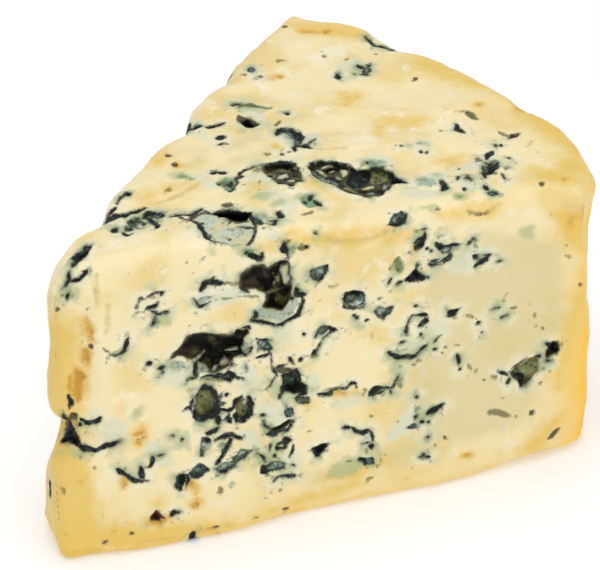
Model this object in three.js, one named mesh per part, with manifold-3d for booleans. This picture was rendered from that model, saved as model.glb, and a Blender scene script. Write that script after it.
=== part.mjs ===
// A wedge of blue cheese.
//
// A drum-shaped wheel is cut in half through its height, and the wedge is a sector of the lower half. Its bottom
// and its curved end are the wheel's rind. The top, the front and the left side are cuts through the soft paste,
// and the nose is broken off blunt. The solid starts as a box of quads, which is rounded at its edges, wrapped
// onto the sector and then pressed and swelled where the paste has sagged, chipped or torn. The open pockets that
// the blue mould leaves in the cuts are lumpy balls taken out of it.
//
// Wheel frame, in millimetres: Z is the wheel's axis with the bottom at 0, and X runs from the axis through the
// middle of the wedge. The finished wedge is moved so that its box stands centred on the origin.

import * as THREE from 'three';
import { mergeVertices } from 'three/addons/utils/BufferGeometryUtils.js';
import Module from 'manifold-3d';

const { degToRad, lerp, smoothstep, clamp } = THREE.MathUtils;
const { abs, cos, exp, hypot, sin, PI } = Math;

// ---------------------------------------------------------------- driving dimensions, in millimetres

const WHEEL_RADIUS = 143.4; // the rind's outer face
const HALF_OPENING = degToRad(24.5); // each cut's bearing from the X axis
const HEIGHT = 72.5; // half of the wheel

const NOSE_FRONT = 12.4; // where the broken nose meets the front cut, from the wheel's axis
const NOSE_LEFT = 20.8; // and where it meets the left cut
const NOSE_LEAN = 5; // how far the nose leans in at the top
const LEFT_LEAN = 8; // how far the left cut leans in at the top

const TOP_ROUND = 5; // edge radii
const BOTTOM_ROUND = 3.2;
const FRONT_CORNER_ROUND = 9; // the upright corner between the front cut and the rind
const LEFT_CORNER_ROUND = 5; // and between the left cut and the rind

const WAVINESS = 0.16; // height of the shallow hand-cut waves
const WAVE_LENGTHS = [47, 31, 23, 17];

const CELLS_ALONG = 28; // quads from nose to rind
const CELLS_ACROSS = 22; // from the front cut to the left cut
const CELLS_UP = 15; // from bottom to top
const CROWDING = 0.45; // pulls the quads towards the edges, where the curves are

const PASTE_COLOUR = 0xf3e3bd;
const PASTE_ROUGHNESS = 0.55;

// ---------------------------------------------------------------- places and directions

const FRONT_OUT = new THREE.Vector3(-sin(HALF_OPENING), -cos(HALF_OPENING), 0);
const LEFT_OUT = new THREE.Vector3(-sin(HALF_OPENING), cos(HALF_OPENING), 0);
const UP = new THREE.Vector3(0, 0, 1);
const NOSE_IN = new THREE.Vector3(1, 0, 0);

/** A point on the front cut, by its distance from the wheel's axis and its height. */
function onFront(distance, height) {
  return new THREE.Vector3(distance * cos(HALF_OPENING), -distance * sin(HALF_OPENING), height);
}

/** A point on the left cut, by its distance from the wheel's axis and its height, inset by the cut's lean. */
function onLeft(distance, height) {
  const inset = (LEFT_LEAN * height) / HEIGHT;
  const point = new THREE.Vector3(distance * cos(HALF_OPENING), distance * sin(HALF_OPENING), height);
  return point.addScaledVector(LEFT_OUT, -inset);
}

/** A point on the top. */
function onTop(x, y) {
  return new THREE.Vector3(x, y, HEIGHT);
}

/** A point on the rind, by its bearing in degrees and its height. */
function onRind(bearing, height) {
  const angle = degToRad(bearing);
  return new THREE.Vector3(WHEEL_RADIUS * cos(angle), WHEEL_RADIUS * sin(angle), height);
}

// ---------------------------------------------------------------- the sector

const NOSE_FRONT_CORNER = onFront(NOSE_FRONT, 0);
const NOSE_LEFT_CORNER = onLeft(NOSE_LEFT, 0);
const LENGTH = WHEEL_RADIUS - NOSE_LEFT;
const NOSE_WIDTH = NOSE_FRONT_CORNER.distanceTo(NOSE_LEFT_CORNER);
const RIND_WIDTH = 2 * WHEEL_RADIUS * sin(HALF_OPENING);

/** Shares from 0 to 1, drawn closer together near both ends. */
function crowd(share) {
  return share - (CROWDING * sin(2 * PI * share)) / (2 * PI);
}

/** The wedge's plan at a share along, from nose 0 to rind 1, and a share across, from front 0 to left 1. */
function planPoint(along, across) {
  const bearing = lerp(-HALF_OPENING, HALF_OPENING, across);
  const nose = NOSE_FRONT_CORNER.clone().lerp(NOSE_LEFT_CORNER, across);
  const rind = new THREE.Vector3(WHEEL_RADIUS * cos(bearing), WHEEL_RADIUS * sin(bearing), 0);
  return nose.lerp(rind, along);
}

/** The radius in plan and in height with which the box is rounded near a place. */
function edgeRadii(along, across, up) {
  const upright = lerp(BOTTOM_ROUND, TOP_ROUND, smoothstep(up, 0.2, 0.8));
  const nearCorner = smoothstep(along, 0.72, 1) * smoothstep(abs(across - 0.5), 0.28, 0.5);
  const corner = across < 0.5 ? FRONT_CORNER_ROUND : LEFT_CORNER_ROUND;
  return { plan: lerp(upright, corner, nearCorner), upright };
}

/** Rounds the edges of the box length x width x height, centred in width, at one point of its surface. */
function roundedBoxPoint(along, across, up) {
  const radii = edgeRadii(along, across, up);
  const halfWidth = lerp(NOSE_WIDTH, RIND_WIDTH, along) / 2;
  const point = [along * LENGTH, (2 * across - 1) * halfWidth, up * HEIGHT];
  const reach = [radii.plan, radii.plan, radii.upright];
  const low = [reach[0], -halfWidth + reach[1], reach[2]];
  const high = [LENGTH - reach[0], halfWidth - reach[1], HEIGHT - reach[2]];
  const inner = point.map((value, axis) => clamp(value, low[axis], high[axis]));
  const lean = point.map((value, axis) => (value - inner[axis]) / reach[axis]);
  const size = hypot(...lean);
  const [x, y, z] = inner.map((value, axis) => value + (lean[axis] / size) * reach[axis]);
  return { x, y, z };
}

/** Wraps a box point onto the sector and leans the nose and the left cut inwards as they rise. */
function sectorPoint(along, across, up) {
  const box = roundedBoxPoint(along, across, up);
  const shareAlong = box.x / LENGTH;
  const shareAcross = box.y / lerp(NOSE_WIDTH, RIND_WIDTH, shareAlong) + 0.5;
  const shareUp = box.z / HEIGHT;
  const point = planPoint(shareAlong, shareAcross);
  point.z = box.z;
  point.addScaledVector(NOSE_IN, NOSE_LEAN * shareUp * (1 - shareAlong) ** 3);
  point.addScaledVector(LEFT_OUT, -LEFT_LEAN * shareUp * shareAcross ** 3);
  return point;
}

// ---------------------------------------------------------------- sags, chips and lips

/** A press or a swelling along a line: its middle moves by push, and it fades out over the radius. */
function relief(from, to, radius, direction, amount) {
  return { line: new THREE.Line3(from, to), radius, push: direction.clone().multiplyScalar(amount) };
}

const RELIEFS = [
  // the belly low on the front cut, where the soft paste has sagged
  relief(onFront(12, 0), onFront(98, 0), 20, FRONT_OUT, 5.2),
  relief(onFront(34, 1), onFront(52, 1), 9, FRONT_OUT, 2),
  relief(onFront(118, 0), onFront(134, 0), 14, FRONT_OUT, 2),
  // the shoulder worn off at the top of the nose
  relief(onTop(20, 6), onTop(24, 6), 8, UP, -3),
  relief(onTop(15, -2), onTop(19, -9), 7, UP, -3.5),
  // the crevice round the nose, from the left cut to the front cut
  relief(onLeft(21, 23), onFront(15, 33), 3.2, NOSE_IN, 5),
  relief(onFront(20, 30), onFront(29, 27), 2.2, FRONT_OUT, -1.6),
  relief(onLeft(20, 8), onLeft(20, 16), 8, NOSE_IN, -1.5),
  // the rough upright groove beside the nose and the smooth ridge after it
  relief(onFront(21.5, 44), onFront(21.5, 60), 3, FRONT_OUT, -2),
  relief(onFront(26.5, 40), onFront(27, 66), 3.5, FRONT_OUT, 1.3),
  // the steps along the top of the left cut
  relief(onTop(35, 7), onTop(37, 3.5), 4.5, LEFT_OUT, -2.5),
  relief(onTop(73, 27), onTop(77, 23), 4.5, LEFT_OUT, -3.5),
  relief(onTop(97, 36), onTop(99, 31), 4.5, LEFT_OUT, -3.5),
  relief(onTop(55, 18), onTop(64, 22), 7, LEFT_OUT, 1.2),
  relief(onTop(84, 31), onTop(92, 35), 6, LEFT_OUT, 1.2),
  relief(onTop(106, 41), onTop(124, 49), 8, LEFT_OUT, 1.5),
  // the lips turned out along the top of the front cut
  relief(onFront(79, 70), onFront(88, 69), 4, FRONT_OUT, 2.2),
  relief(onFront(107, 71), onFront(111, 70), 3.4, FRONT_OUT, 1.8),
  relief(onFront(96, 66), onFront(104, 65), 6, FRONT_OUT, -1.2),
  relief(onFront(60, 71), onFront(72, 71), 6, FRONT_OUT, -1.5),
  // the chips in the top edge of the rind
  relief(onRind(10.5, HEIGHT), onRind(7.5, HEIGHT), 4, NOSE_IN, -3.2),
  relief(onRind(-8.5, HEIGHT), onRind(-10, HEIGHT), 3.5, NOSE_IN, -2.2),
  relief(onRind(19, HEIGHT), onRind(17.5, HEIGHT), 4, NOSE_IN, -4),
  // the crease and the notch at the front upright corner
  relief(onFront(127, 72), onFront(137, 66), 2.8, FRONT_OUT, -2),
  relief(onFront(144, 71), onFront(143, 60), 5, NOSE_IN, -3.6),
  // the rind leaning in above, and swelling between the cuts
  relief(onFront(143, 74), onFront(143, 44), 15, NOSE_IN, -3.6),
  relief(onRind(-12, 72), onRind(-17, 64), 12, NOSE_IN, 2.2),
  relief(onRind(12, 74), onRind(22, 74), 9, NOSE_IN, 2),
];

/** Moves a point by every relief, each fading with the square of the distance from its line. */
function pressAndSwell(point) {
  const nearest = new THREE.Vector3();
  const moved = point.clone();
  for (const { line, radius, push } of RELIEFS) {
    line.closestPointToPoint(point, true, nearest);
    const fade = exp(-((nearest.distanceTo(point) / radius) ** 2));
    moved.addScaledVector(push, fade);
  }
  return moved;
}

/** Shallow waves over a place, a few millimetres high at most, from sines that run in turning directions. */
function waves(point) {
  return WAVE_LENGTHS.reduce((sum, length, index) => {
    const turn = 2.4 * index;
    const run = point.x * cos(turn) + point.y * sin(turn) + point.z * cos(1.7 * index + 0.6);
    return sum + WAVINESS * sin((2 * PI * run) / length + 1.3 * index);
  }, 0);
}

/** The bare wedge, one closed surface of quads, before its pockets are cut. */
function wedgeGeometry() {
  const box = new THREE.BoxGeometry(1, 1, 1, CELLS_ALONG, CELLS_ACROSS, CELLS_UP);
  box.deleteAttribute('normal');
  box.deleteAttribute('uv');
  const geometry = mergeVertices(box);
  const place = geometry.getAttribute('position');
  for (let i = 0; i < place.count; i += 1) {
    const shares = [place.getX(i), place.getY(i), place.getZ(i)].map((value) => crowd(value + 0.5));
    const point = pressAndSwell(sectorPoint(...shares));
    place.setXYZ(i, point.x, point.y, point.z);
  }
  geometry.computeVertexNormals();
  roughen(geometry);
  return geometry;
}

/** Adds the waves along the normals, and keeps the underside flat to stand on. */
function roughen(geometry) {
  const place = geometry.getAttribute('position');
  const normal = geometry.getAttribute('normal');
  const point = new THREE.Vector3();
  const out = new THREE.Vector3();
  for (let i = 0; i < place.count; i += 1) {
    point.fromBufferAttribute(place, i);
    out.fromBufferAttribute(normal, i);
    const underside = smoothstep(-out.z, 0.1, 0.7);
    point.addScaledVector(out, waves(point) * (1 - underside));
    point.z = underside > 0.5 ? Math.max(point.z, 0) : point.z;
    place.setXYZ(i, point.x, point.y, point.z);
  }
  geometry.deleteAttribute('normal');
}

// ---------------------------------------------------------------- pockets left by the mould

const POCKET_WOBBLE = 0.2; // how far a pocket's wall strays from a plain ball

/** A pocket by its place, its outward direction, its width, height and depth, and its turn in degrees. */
function pocket(place, outward, width, height, depth, turn = 0) {
  return { at: pressAndSwell(place), outward, size: [width / 2, height / 2, depth], turn: degToRad(turn) };
}

const front = (distance, height, ...rest) => pocket(onFront(distance, height), FRONT_OUT, ...rest);
const top = (x, y, ...rest) => pocket(onTop(x, y), UP, ...rest);
const left = (distance, height, ...rest) => pocket(onLeft(distance, height), LEFT_OUT, ...rest);

const POCKETS = [
  // two open caves and the chain of hollows below them, on the front cut
  front(62, 63, 12.5, 8.5, 7, 8),
  front(64.2, 56.5, 7, 6.5, 5, 60),
  front(50, 64, 6, 3.2, 3, 10),
  front(47, 48.6, 14, 6, 7, 12),
  front(55.5, 48.6, 8, 5.5, 5, -10),
  front(48, 33, 6.2, 6.2, 2.6),
  front(57, 29.7, 3.8, 6.4, 2.2),
  front(67.4, 40.5, 3, 4, 3),
  front(67.2, 35.2, 3.6, 4.6, 3.2, 10),
  front(70.2, 31.8, 3.6, 3.4, 2.6),
  front(65.6, 22.6, 7, 3.4, 2.4, 12),
  // hollows near the nose
  front(33.3, 28.8, 3.2, 5.4, 2.4, -20),
  front(36.5, 4.6, 4.4, 3.4, 3.2),
  front(37.5, 60.4, 5, 2.2, 1.6, 25),
  front(50.5, 19.6, 3, 7, 1.8, -35),
  // hollows towards the rind
  front(82.5, 55.4, 5.6, 3.4, 2.4, 10),
  front(89.5, 48.8, 4.6, 3.8, 2.4),
  front(78, 45.2, 3, 5.6, 2, -40),
  front(95.6, 57.6, 7.6, 2.6, 2, 18),
  front(97.8, 65.2, 3.4, 2.6, 2),
  front(74.3, 62.3, 4.2, 4.2, 1.8),
  front(106.2, 46, 4.2, 3.4, 2.2),
  front(96.5, 36.4, 8, 2, 1.8, 4),
  front(84, 18, 8.4, 2.2, 1.8, -14),
  front(75, 15.4, 4.4, 3.8, 2.4),
  front(97.6, 15.8, 3.8, 2.8, 1.8),
  front(88.5, 27, 4, 2, 1.8),
  front(124, 24.4, 8.6, 6.8, 3.2, 15),
  front(130.4, 28.4, 3.8, 5.2, 3, -20),
  front(106, 34, 4, 4, 1.6),
  // torn hollows in the top
  top(55, -16, 15, 10, 4.2, -58),
  top(86.5, -15.5, 9, 9, 3.2, -55),
  top(91.5, -23, 8.5, 9, 4, -40),
  top(78.4, -8.6, 9, 8, 3.8, -30),
  top(88, 15.4, 8, 4, 3, -65),
  top(78.6, 19.8, 8, 3.6, 3, -15),
  top(77.6, 13.4, 3.2, 2.8, 2.2),
  top(113.4, -37, 7, 6, 3.6, -40),
  top(119, -32.6, 7, 3.4, 2.8, 20),
  top(91, 4, 6, 4, 1.8, -40),
  top(42, -3, 9, 3.4, 2, -20),
  top(95, 19.2, 8, 3, 1.8, -50),
  top(124.4, 15.6, 6, 3.6, 2.2, -30),
  top(121.6, -20.2, 3, 3, 2.2),
  top(128, -29, 3.6, 3.2, 2.2),
  top(128, -17, 5.6, 3, 2, -70),
  top(113, -9.5, 10, 5, 1.8, -35),
  top(84.2, -37.5, 5, 3.4, 2.4, -20),
  // the same kind of hollows on the left cut
  left(46, 44, 10, 5, 4, 20),
  left(58, 25, 6, 5, 3, -10),
  left(70, 52, 12, 6, 5, 8),
  left(84, 33, 8, 4, 3, 30),
  left(97, 18, 5, 4, 2.4),
  left(104, 54, 9, 4.4, 3.4, -15),
  left(116, 37, 6, 6, 3, 10),
  left(38, 16, 4, 5, 2.2),
];

/** A lumpy ball of radius 1, each with its own lumps. */
function lumpyBall(seed) {
  const ball = new THREE.IcosahedronGeometry(1, 1);
  ball.deleteAttribute('normal');
  ball.deleteAttribute('uv');
  const geometry = mergeVertices(ball, 1e-4);
  const place = geometry.getAttribute('position');
  for (let i = 0; i < place.count; i += 1) {
    const [x, y, z] = [place.getX(i), place.getY(i), place.getZ(i)];
    const lump = sin(3 * x + seed) + sin(4 * y + 2 * seed) + sin(3 * z + 3 * seed);
    const size = 1 + (POCKET_WOBBLE * lump) / 3;
    place.setXYZ(i, x * size, y * size, z * size);
  }
  return geometry;
}

/** The cutter for one pocket: a lumpy ball stretched to its size, facing out of the cheese. */
function pocketGeometry({ at, outward, size, turn }, index) {
  const across = outward === UP ? new THREE.Vector3(1, 0, 0) : new THREE.Vector3().crossVectors(UP, outward);
  const upward = new THREE.Vector3().crossVectors(outward, across);
  const matrix = new THREE.Matrix4().makeBasis(across, upward, outward);
  matrix.multiply(new THREE.Matrix4().makeRotationZ(turn));
  matrix.scale(new THREE.Vector3(...size));
  matrix.setPosition(at);
  return lumpyBall(index).applyMatrix4(matrix);
}

// ---------------------------------------------------------------- cutting

const manifold = await Module();
manifold.setup();

/** A closed geometry as a solid that can be cut. */
function toSolid(geometry) {
  const vertProperties = new Float32Array(geometry.getAttribute('position').array);
  const triVerts = new Uint32Array(geometry.getIndex().array);
  return new manifold.Manifold(new manifold.Mesh({ numProp: 3, vertProperties, triVerts }));
}

/** A cut solid back as a geometry. */
function toGeometry(solid) {
  const mesh = solid.getMesh();
  const geometry = new THREE.BufferGeometry();
  geometry.setAttribute('position', new THREE.BufferAttribute(mesh.vertProperties, 3));
  geometry.setIndex(new THREE.BufferAttribute(mesh.triVerts, 1));
  return geometry;
}

/** The wedge with its pockets taken out, standing centred on the origin. */
function cheeseGeometry() {
  let solid = toSolid(wedgeGeometry());
  POCKETS.forEach((hollow, index) => {
    solid = solid.subtract(toSolid(pocketGeometry(hollow, index)));
  });
  const geometry = toGeometry(solid);
  geometry.computeBoundingBox();
  const { min, max } = geometry.boundingBox;
  geometry.translate(-(min.x + max.x) / 2, -(min.y + max.y) / 2, -min.z);
  geometry.computeVertexNormals();
  return geometry;
}

const cheese = new THREE.Mesh(
  cheeseGeometry(),
  new THREE.MeshStandardMaterial({ color: PASTE_COLOUR, roughness: PASTE_ROUGHNESS, metalness: 0 }),
);
cheese.name = 'cheese_wedge';

const wedge = new THREE.Group();
wedge.add(cheese);

export default wedge;
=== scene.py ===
# %% [markdown]
# # A wedge of blue cheese
#
# A blue cheese of this kind is made as a drum-shaped wheel. Curds are stirred with a blue mould, packed in a
# hoop, salted and pierced with needles, so that air reaches the gaps between the curds and the mould can grow
# there. When the wheel is cut, the knife opens those gaps: some are flat slate-blue patches, some are dark
# caves, and the paste round them is whiter than the rest.
#
# The whole thing is one piece, so it is made as one closed skin. The frame holds the plain solid with its
# true size. This script loads it, works out the same shape again on a much finer net of triangles, sinks
# the mould pockets into it and gives it the colours of paste, mould and rind.

import math

import bpy
import numpy as np
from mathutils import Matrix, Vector


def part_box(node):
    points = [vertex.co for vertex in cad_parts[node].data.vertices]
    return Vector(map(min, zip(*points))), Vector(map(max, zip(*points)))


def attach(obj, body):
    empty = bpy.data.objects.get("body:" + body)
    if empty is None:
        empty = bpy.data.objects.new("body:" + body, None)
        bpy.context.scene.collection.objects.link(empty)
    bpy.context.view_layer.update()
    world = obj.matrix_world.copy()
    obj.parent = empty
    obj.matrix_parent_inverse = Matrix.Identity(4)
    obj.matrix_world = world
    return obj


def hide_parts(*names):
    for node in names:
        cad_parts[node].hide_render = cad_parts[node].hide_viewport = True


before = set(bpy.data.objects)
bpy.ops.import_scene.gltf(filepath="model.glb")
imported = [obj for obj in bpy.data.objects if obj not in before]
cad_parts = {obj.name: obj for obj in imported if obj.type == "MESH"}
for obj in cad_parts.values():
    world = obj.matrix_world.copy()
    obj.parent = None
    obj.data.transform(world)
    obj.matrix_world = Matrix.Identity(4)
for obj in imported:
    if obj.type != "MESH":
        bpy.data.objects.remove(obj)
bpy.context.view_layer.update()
NODE = "cheese_wedge"
MM = 0.001  # every size below is in millimetres, and becomes metres when a mesh is made

# %% [markdown]
# ## The sizes that drive the shape
#
# These are the cheesemaker's sizes: how wide the wheel is, how far the two cuts open and how tall the half
# wheel stands. They are the same as in the solid, so the fine skin lies on it without any fitting. The places
# are in the wheel's own frame: Z is the wheel's axis and X runs through the middle of the wedge.

# %% Driving sizes
WHEEL_RADIUS = 143.4
HALF_OPENING = math.radians(24.5)
HEIGHT = 72.5

NOSE_FRONT, NOSE_LEFT = 12.4, 20.8  # where the broken nose meets the two cuts
NOSE_LEAN, LEFT_LEAN = 5.0, 8.0
TOP_ROUND, BOTTOM_ROUND = 5.0, 3.2
FRONT_CORNER_ROUND, LEFT_CORNER_ROUND = 9.0, 5.0
WAVINESS, WAVE_LENGTHS = 0.16, (47, 31, 23, 17)

COS, SIN = math.cos(HALF_OPENING), math.sin(HALF_OPENING)
ALONG_FRONT, FRONT_OUT = np.array([COS, -SIN, 0]), np.array([-SIN, -COS, 0])
ALONG_LEFT, LEFT_OUT = np.array([COS, SIN, 0]), np.array([-SIN, COS, 0])
NOSE_IN, UP = np.array([1.0, 0, 0]), np.array([0, 0, 1.0])


def on_front(distance, height):
    """A point on the front cut: that far from the wheel's axis along the cut, at that height."""
    return distance * ALONG_FRONT + height * UP


def on_left(distance, height):
    """The same on the left cut, which leans in as it rises."""
    return distance * ALONG_LEFT + height * UP - LEFT_LEAN * height / HEIGHT * LEFT_OUT


def on_top(x, y):
    """A point on the top."""
    return np.array([x, y, HEIGHT])


def on_rind(bearing, height):
    """A point on the rind, by its bearing in degrees from the X axis."""
    angle = math.radians(bearing)
    return np.array([WHEEL_RADIUS * math.cos(angle), WHEEL_RADIUS * math.sin(angle), height])


def blend(low, high, share):
    """The value that lies that share of the way from low to high."""
    return low + (high - low) * share


def ease(value, low, high):
    """0 below low, 1 above high, and the smooth curve 3t^2 - 2t^3 between them."""
    t = np.clip((value - low) / (high - low), 0, 1)
    return t * t * (3 - 2 * t)


# %% [markdown]
# ## From a box to a sector
#
# A sphere or a drum has poles, where a net of quads gets crowded. A box has none, so the skin starts as
# the six sides of a box, each a grid of two parameters. One function turns the box's shares (along,
# across, up) into a place on the wedge: first the box's edges are rounded, then the box is bent onto the
# wheel's sector, and then the cuts lean in as they rise.

# %% The six sides of the box
def box_sides(cells):
    """Six grids of quads that share the points along the box's edges, cut into triangles that face outwards.

    Each point is a whole number of cells along each axis, so equal points on two sides are found and
    joined."""
    quads = []
    for axis in range(3):
        right, up = (axis + 1) % 3, (axis + 2) % 3
        i, j = (g.ravel() for g in np.meshgrid(range(cells[right]), range(cells[up]), indexing="ij"))
        for side in (0, 1):
            turn = [(0, 0), (1, 0), (1, 1), (0, 1)][:: 1 if side else -1]
            quad = np.zeros((i.size, 4, 3), int)
            quad[:, :, axis] = side * cells[axis]
            quad[:, :, right] = np.stack([i + di for di, _ in turn], 1)
            quad[:, :, up] = np.stack([j + dj for _, dj in turn], 1)
            quads.append(quad)
    points, index = np.unique(np.concatenate(quads).reshape(-1, 3), axis=0, return_inverse=True)
    index = index.reshape(-1, 4)
    return points / np.array(cells), np.concatenate([index[:, [0, 1, 2]], index[:, [0, 2, 3]]])


# %% Wrapping the box onto the sector
NOSE_FRONT_CORNER, NOSE_LEFT_CORNER = on_front(NOSE_FRONT, 0), on_left(NOSE_LEFT, 0)
LENGTH = WHEEL_RADIUS - NOSE_LEFT
NOSE_WIDTH = float(np.linalg.norm(NOSE_LEFT_CORNER - NOSE_FRONT_CORNER))
RIND_WIDTH = 2 * WHEEL_RADIUS * SIN


def rounded_box(shares):
    """The box length x width x height with its edges rounded.

    A point is clamped to an inner box, and what is left over is drawn onto an ellipsoid of the edge's
    radii."""
    along, across, up = shares.T
    upright = blend(BOTTOM_ROUND, TOP_ROUND, ease(up, 0.2, 0.8))
    near_corner = ease(along, 0.72, 1) * ease(abs(across - 0.5), 0.28, 0.5)
    plan = blend(upright, np.where(across < 0.5, FRONT_CORNER_ROUND, LEFT_CORNER_ROUND), near_corner)
    half = blend(NOSE_WIDTH, RIND_WIDTH, along) / 2
    point = np.stack([along * LENGTH, (2 * across - 1) * half, up * HEIGHT], 1)
    reach = np.stack([plan, plan, upright], 1)
    low = np.stack([plan, plan - half, upright], 1)
    high = np.stack([LENGTH - plan, half - plan, HEIGHT - upright], 1)
    inner = np.clip(point, low, high)
    lean = (point - inner) / reach
    return inner + lean / np.linalg.norm(lean, axis=1, keepdims=True) * reach


def sector(shares):
    """Bends the rounded box onto the wheel: straight lines run from the blunt nose to the rind's arc."""
    x, y, z = rounded_box(shares).T
    along = x / LENGTH
    across = y / blend(NOSE_WIDTH, RIND_WIDTH, along) + 0.5
    bearing = blend(-HALF_OPENING, HALF_OPENING, across)
    nose = blend(NOSE_FRONT_CORNER, NOSE_LEFT_CORNER, across[:, None])
    rind = WHEEL_RADIUS * np.stack([np.cos(bearing), np.sin(bearing), 0 * bearing], 1)
    point = blend(nose, rind, along[:, None])
    point[:, 2] = z
    up = (z / HEIGHT)[:, None]
    point += NOSE_LEAN * up * (1 - along[:, None]) ** 3 * NOSE_IN
    return point - LEFT_LEAN * up * across[:, None] ** 3 * LEFT_OUT


# %% [markdown]
# ## Sags, chips and lips
#
# Soft paste sags low on the cut, the nose has torn along a crevice, and the knife leaves lips and chips at
# the edges. Each is a short line, a radius and a push: the skin near the line moves by the push, and the
# move fades as exp(-(distance / radius)^2). The same list shaped the solid.

# %% The list of presses and swellings
RELIEFS = [
    # the belly low on the front cut
    (on_front(12, 0), on_front(98, 0), 20, 5.2 * FRONT_OUT),
    (on_front(34, 1), on_front(52, 1), 9, 2 * FRONT_OUT),
    (on_front(118, 0), on_front(134, 0), 14, 2 * FRONT_OUT),
    # the worn shoulder of the nose
    (on_top(20, 6), on_top(24, 6), 8, -3 * UP),
    (on_top(15, -2), on_top(19, -9), 7, -3.5 * UP),
    # the crevice round the nose
    (on_left(21, 23), on_front(15, 33), 3.2, 5 * NOSE_IN),
    (on_front(20, 30), on_front(29, 27), 2.2, -1.6 * FRONT_OUT),
    (on_left(20, 8), on_left(20, 16), 8, -1.5 * NOSE_IN),
    # the rough groove beside the nose and the smooth ridge after it
    (on_front(21.5, 44), on_front(21.5, 60), 3, -2 * FRONT_OUT),
    (on_front(26.5, 40), on_front(27, 66), 3.5, 1.3 * FRONT_OUT),
    # the steps along the top of the left cut
    (on_top(35, 7), on_top(37, 3.5), 4.5, -2.5 * LEFT_OUT),
    (on_top(73, 27), on_top(77, 23), 4.5, -3.5 * LEFT_OUT),
    (on_top(97, 36), on_top(99, 31), 4.5, -3.5 * LEFT_OUT),
    (on_top(55, 18), on_top(64, 22), 7, 1.2 * LEFT_OUT),
    (on_top(84, 31), on_top(92, 35), 6, 1.2 * LEFT_OUT),
    (on_top(106, 41), on_top(124, 49), 8, 1.5 * LEFT_OUT),
    # the lips along the top of the front cut
    (on_front(79, 70), on_front(88, 69), 4, 2.2 * FRONT_OUT),
    (on_front(107, 71), on_front(111, 70), 3.4, 1.8 * FRONT_OUT),
    (on_front(96, 66), on_front(104, 65), 6, -1.2 * FRONT_OUT),
    (on_front(60, 71), on_front(72, 71), 6, -1.5 * FRONT_OUT),
    # the chips in the top edge of the rind
    (on_rind(10.5, HEIGHT), on_rind(7.5, HEIGHT), 4, -3.2 * NOSE_IN),
    (on_rind(-8.5, HEIGHT), on_rind(-10, HEIGHT), 3.5, -2.2 * NOSE_IN),
    (on_rind(19, HEIGHT), on_rind(17.5, HEIGHT), 4, -4 * NOSE_IN),
    # the crease and the notch at the front upright corner
    (on_front(127, 72), on_front(137, 66), 2.8, -2 * FRONT_OUT),
    (on_front(144, 71), on_front(143, 60), 5, -3.6 * NOSE_IN),
    # the rind leaning in above, and swelling between the cuts
    (on_front(143, 74), on_front(143, 44), 15, -3.6 * NOSE_IN),
    (on_rind(-12, 72), on_rind(-17, 64), 12, 2.2 * NOSE_IN),
    (on_rind(12, 74), on_rind(22, 74), 9, 2 * NOSE_IN),
]


def distance_to_line(points, start, end):
    """How far each point is from the straight line between two points, in any number of dimensions."""
    start, run = np.asarray(start, float), np.asarray(end, float) - start
    share = np.clip((points - start) @ run / max(run @ run, 1e-9), 0, 1)
    return np.linalg.norm(points - start - share[:, None] * run, axis=1)


def press_and_swell(points):
    """Adds every push, each fading as exp(-(distance from its line / radius)^2)."""
    moved = points.copy()
    for start, end, radius, push in RELIEFS:
        fade = np.exp(-((distance_to_line(points, start, end) / radius) ** 2))
        moved += fade[:, None] * push
    return moved


def waves(points):
    """The shallow waves that a hand leaves in a long cut: four sines that run in turning directions.

    Each is WAVINESS x sin(2 pi run / length + phase), where run is the way along its own direction."""
    x, y, z = points.T
    total = 0
    for index, length in enumerate(WAVE_LENGTHS):
        turn = 2.4 * index
        run = x * math.cos(turn) + y * math.sin(turn) + z * math.cos(1.7 * index + 0.6)
        total = total + WAVINESS * np.sin(2 * math.pi * run / length + 1.3 * index)
    return total


def corner_normals(points, triangles):
    """The outward direction at each point: the sum of the normals of the triangles that meet there."""
    a, b, c = (points[triangles[:, k]] for k in range(3))
    face = np.cross(b - a, c - a)
    total = np.zeros_like(points)
    for axis in range(3):
        for k in range(3):
            total[:, axis] += np.bincount(triangles[:, k], face[:, axis], len(points))
    return total / np.maximum(np.linalg.norm(total, axis=1, keepdims=True), 1e-12)


def bare_wedge(shares, triangles):
    """The plain wedge without its pockets: the sector, pressed and swelled, with waves along its normals."""
    points = press_and_swell(sector(shares))
    out = corner_normals(points, triangles)
    underside = ease(-out[:, 2], 0.1, 0.7)
    points += (waves(points) * (1 - underside))[:, None] * out
    points[:, 2] = np.where(underside > 0.5, np.maximum(points[:, 2], 0), points[:, 2])
    return points, out


# %% Where the wheel's frame lies in the part's frame
COARSE_CELLS = (56, 44, 30)
coarse = bare_wedge(*box_sides(COARSE_CELLS))[0]
CAD_LOW, CAD_HIGH = (np.array(corner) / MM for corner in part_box(NODE))
SHIFT = (CAD_LOW + CAD_HIGH) / 2 - (coarse.min(0) + coarse.max(0)) / 2
SHIFT[2] = CAD_LOW[2]
print("wheel frame to part frame, mm:", SHIFT.round(2), "difference in size, mm:",
      (np.ptp(coarse, 0) - (CAD_HIGH - CAD_LOW)).round(2))

# %% [markdown]
# ## Uneven numbers that repeat
#
# Nature's unevenness is made from value noise: a random number sits at each point of a lattice, and the
# values between are eased from the eight corners of a cell. The random number comes from mixing the
# corner's three whole numbers, so it needs no stored table and is the same in each run.

# %% Value noise
def lattice_value(corner, seed):
    """A number from -1 to 1 for each lattice corner, by multiplying and folding its bits."""
    mixed = (corner * np.array([73856093, 19349663, 83492791])).sum(-1) + seed * 2654435761
    mixed = np.bitwise_and(mixed, 0xFFFFFFFF)
    for _ in range(2):
        mixed = np.bitwise_and((mixed ^ (mixed >> 15)) * 0x2C1B3C6D, 0xFFFFFFFF)
    return (mixed ^ (mixed >> 13)).astype(float) % 65536 / 32767.5 - 1


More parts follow.
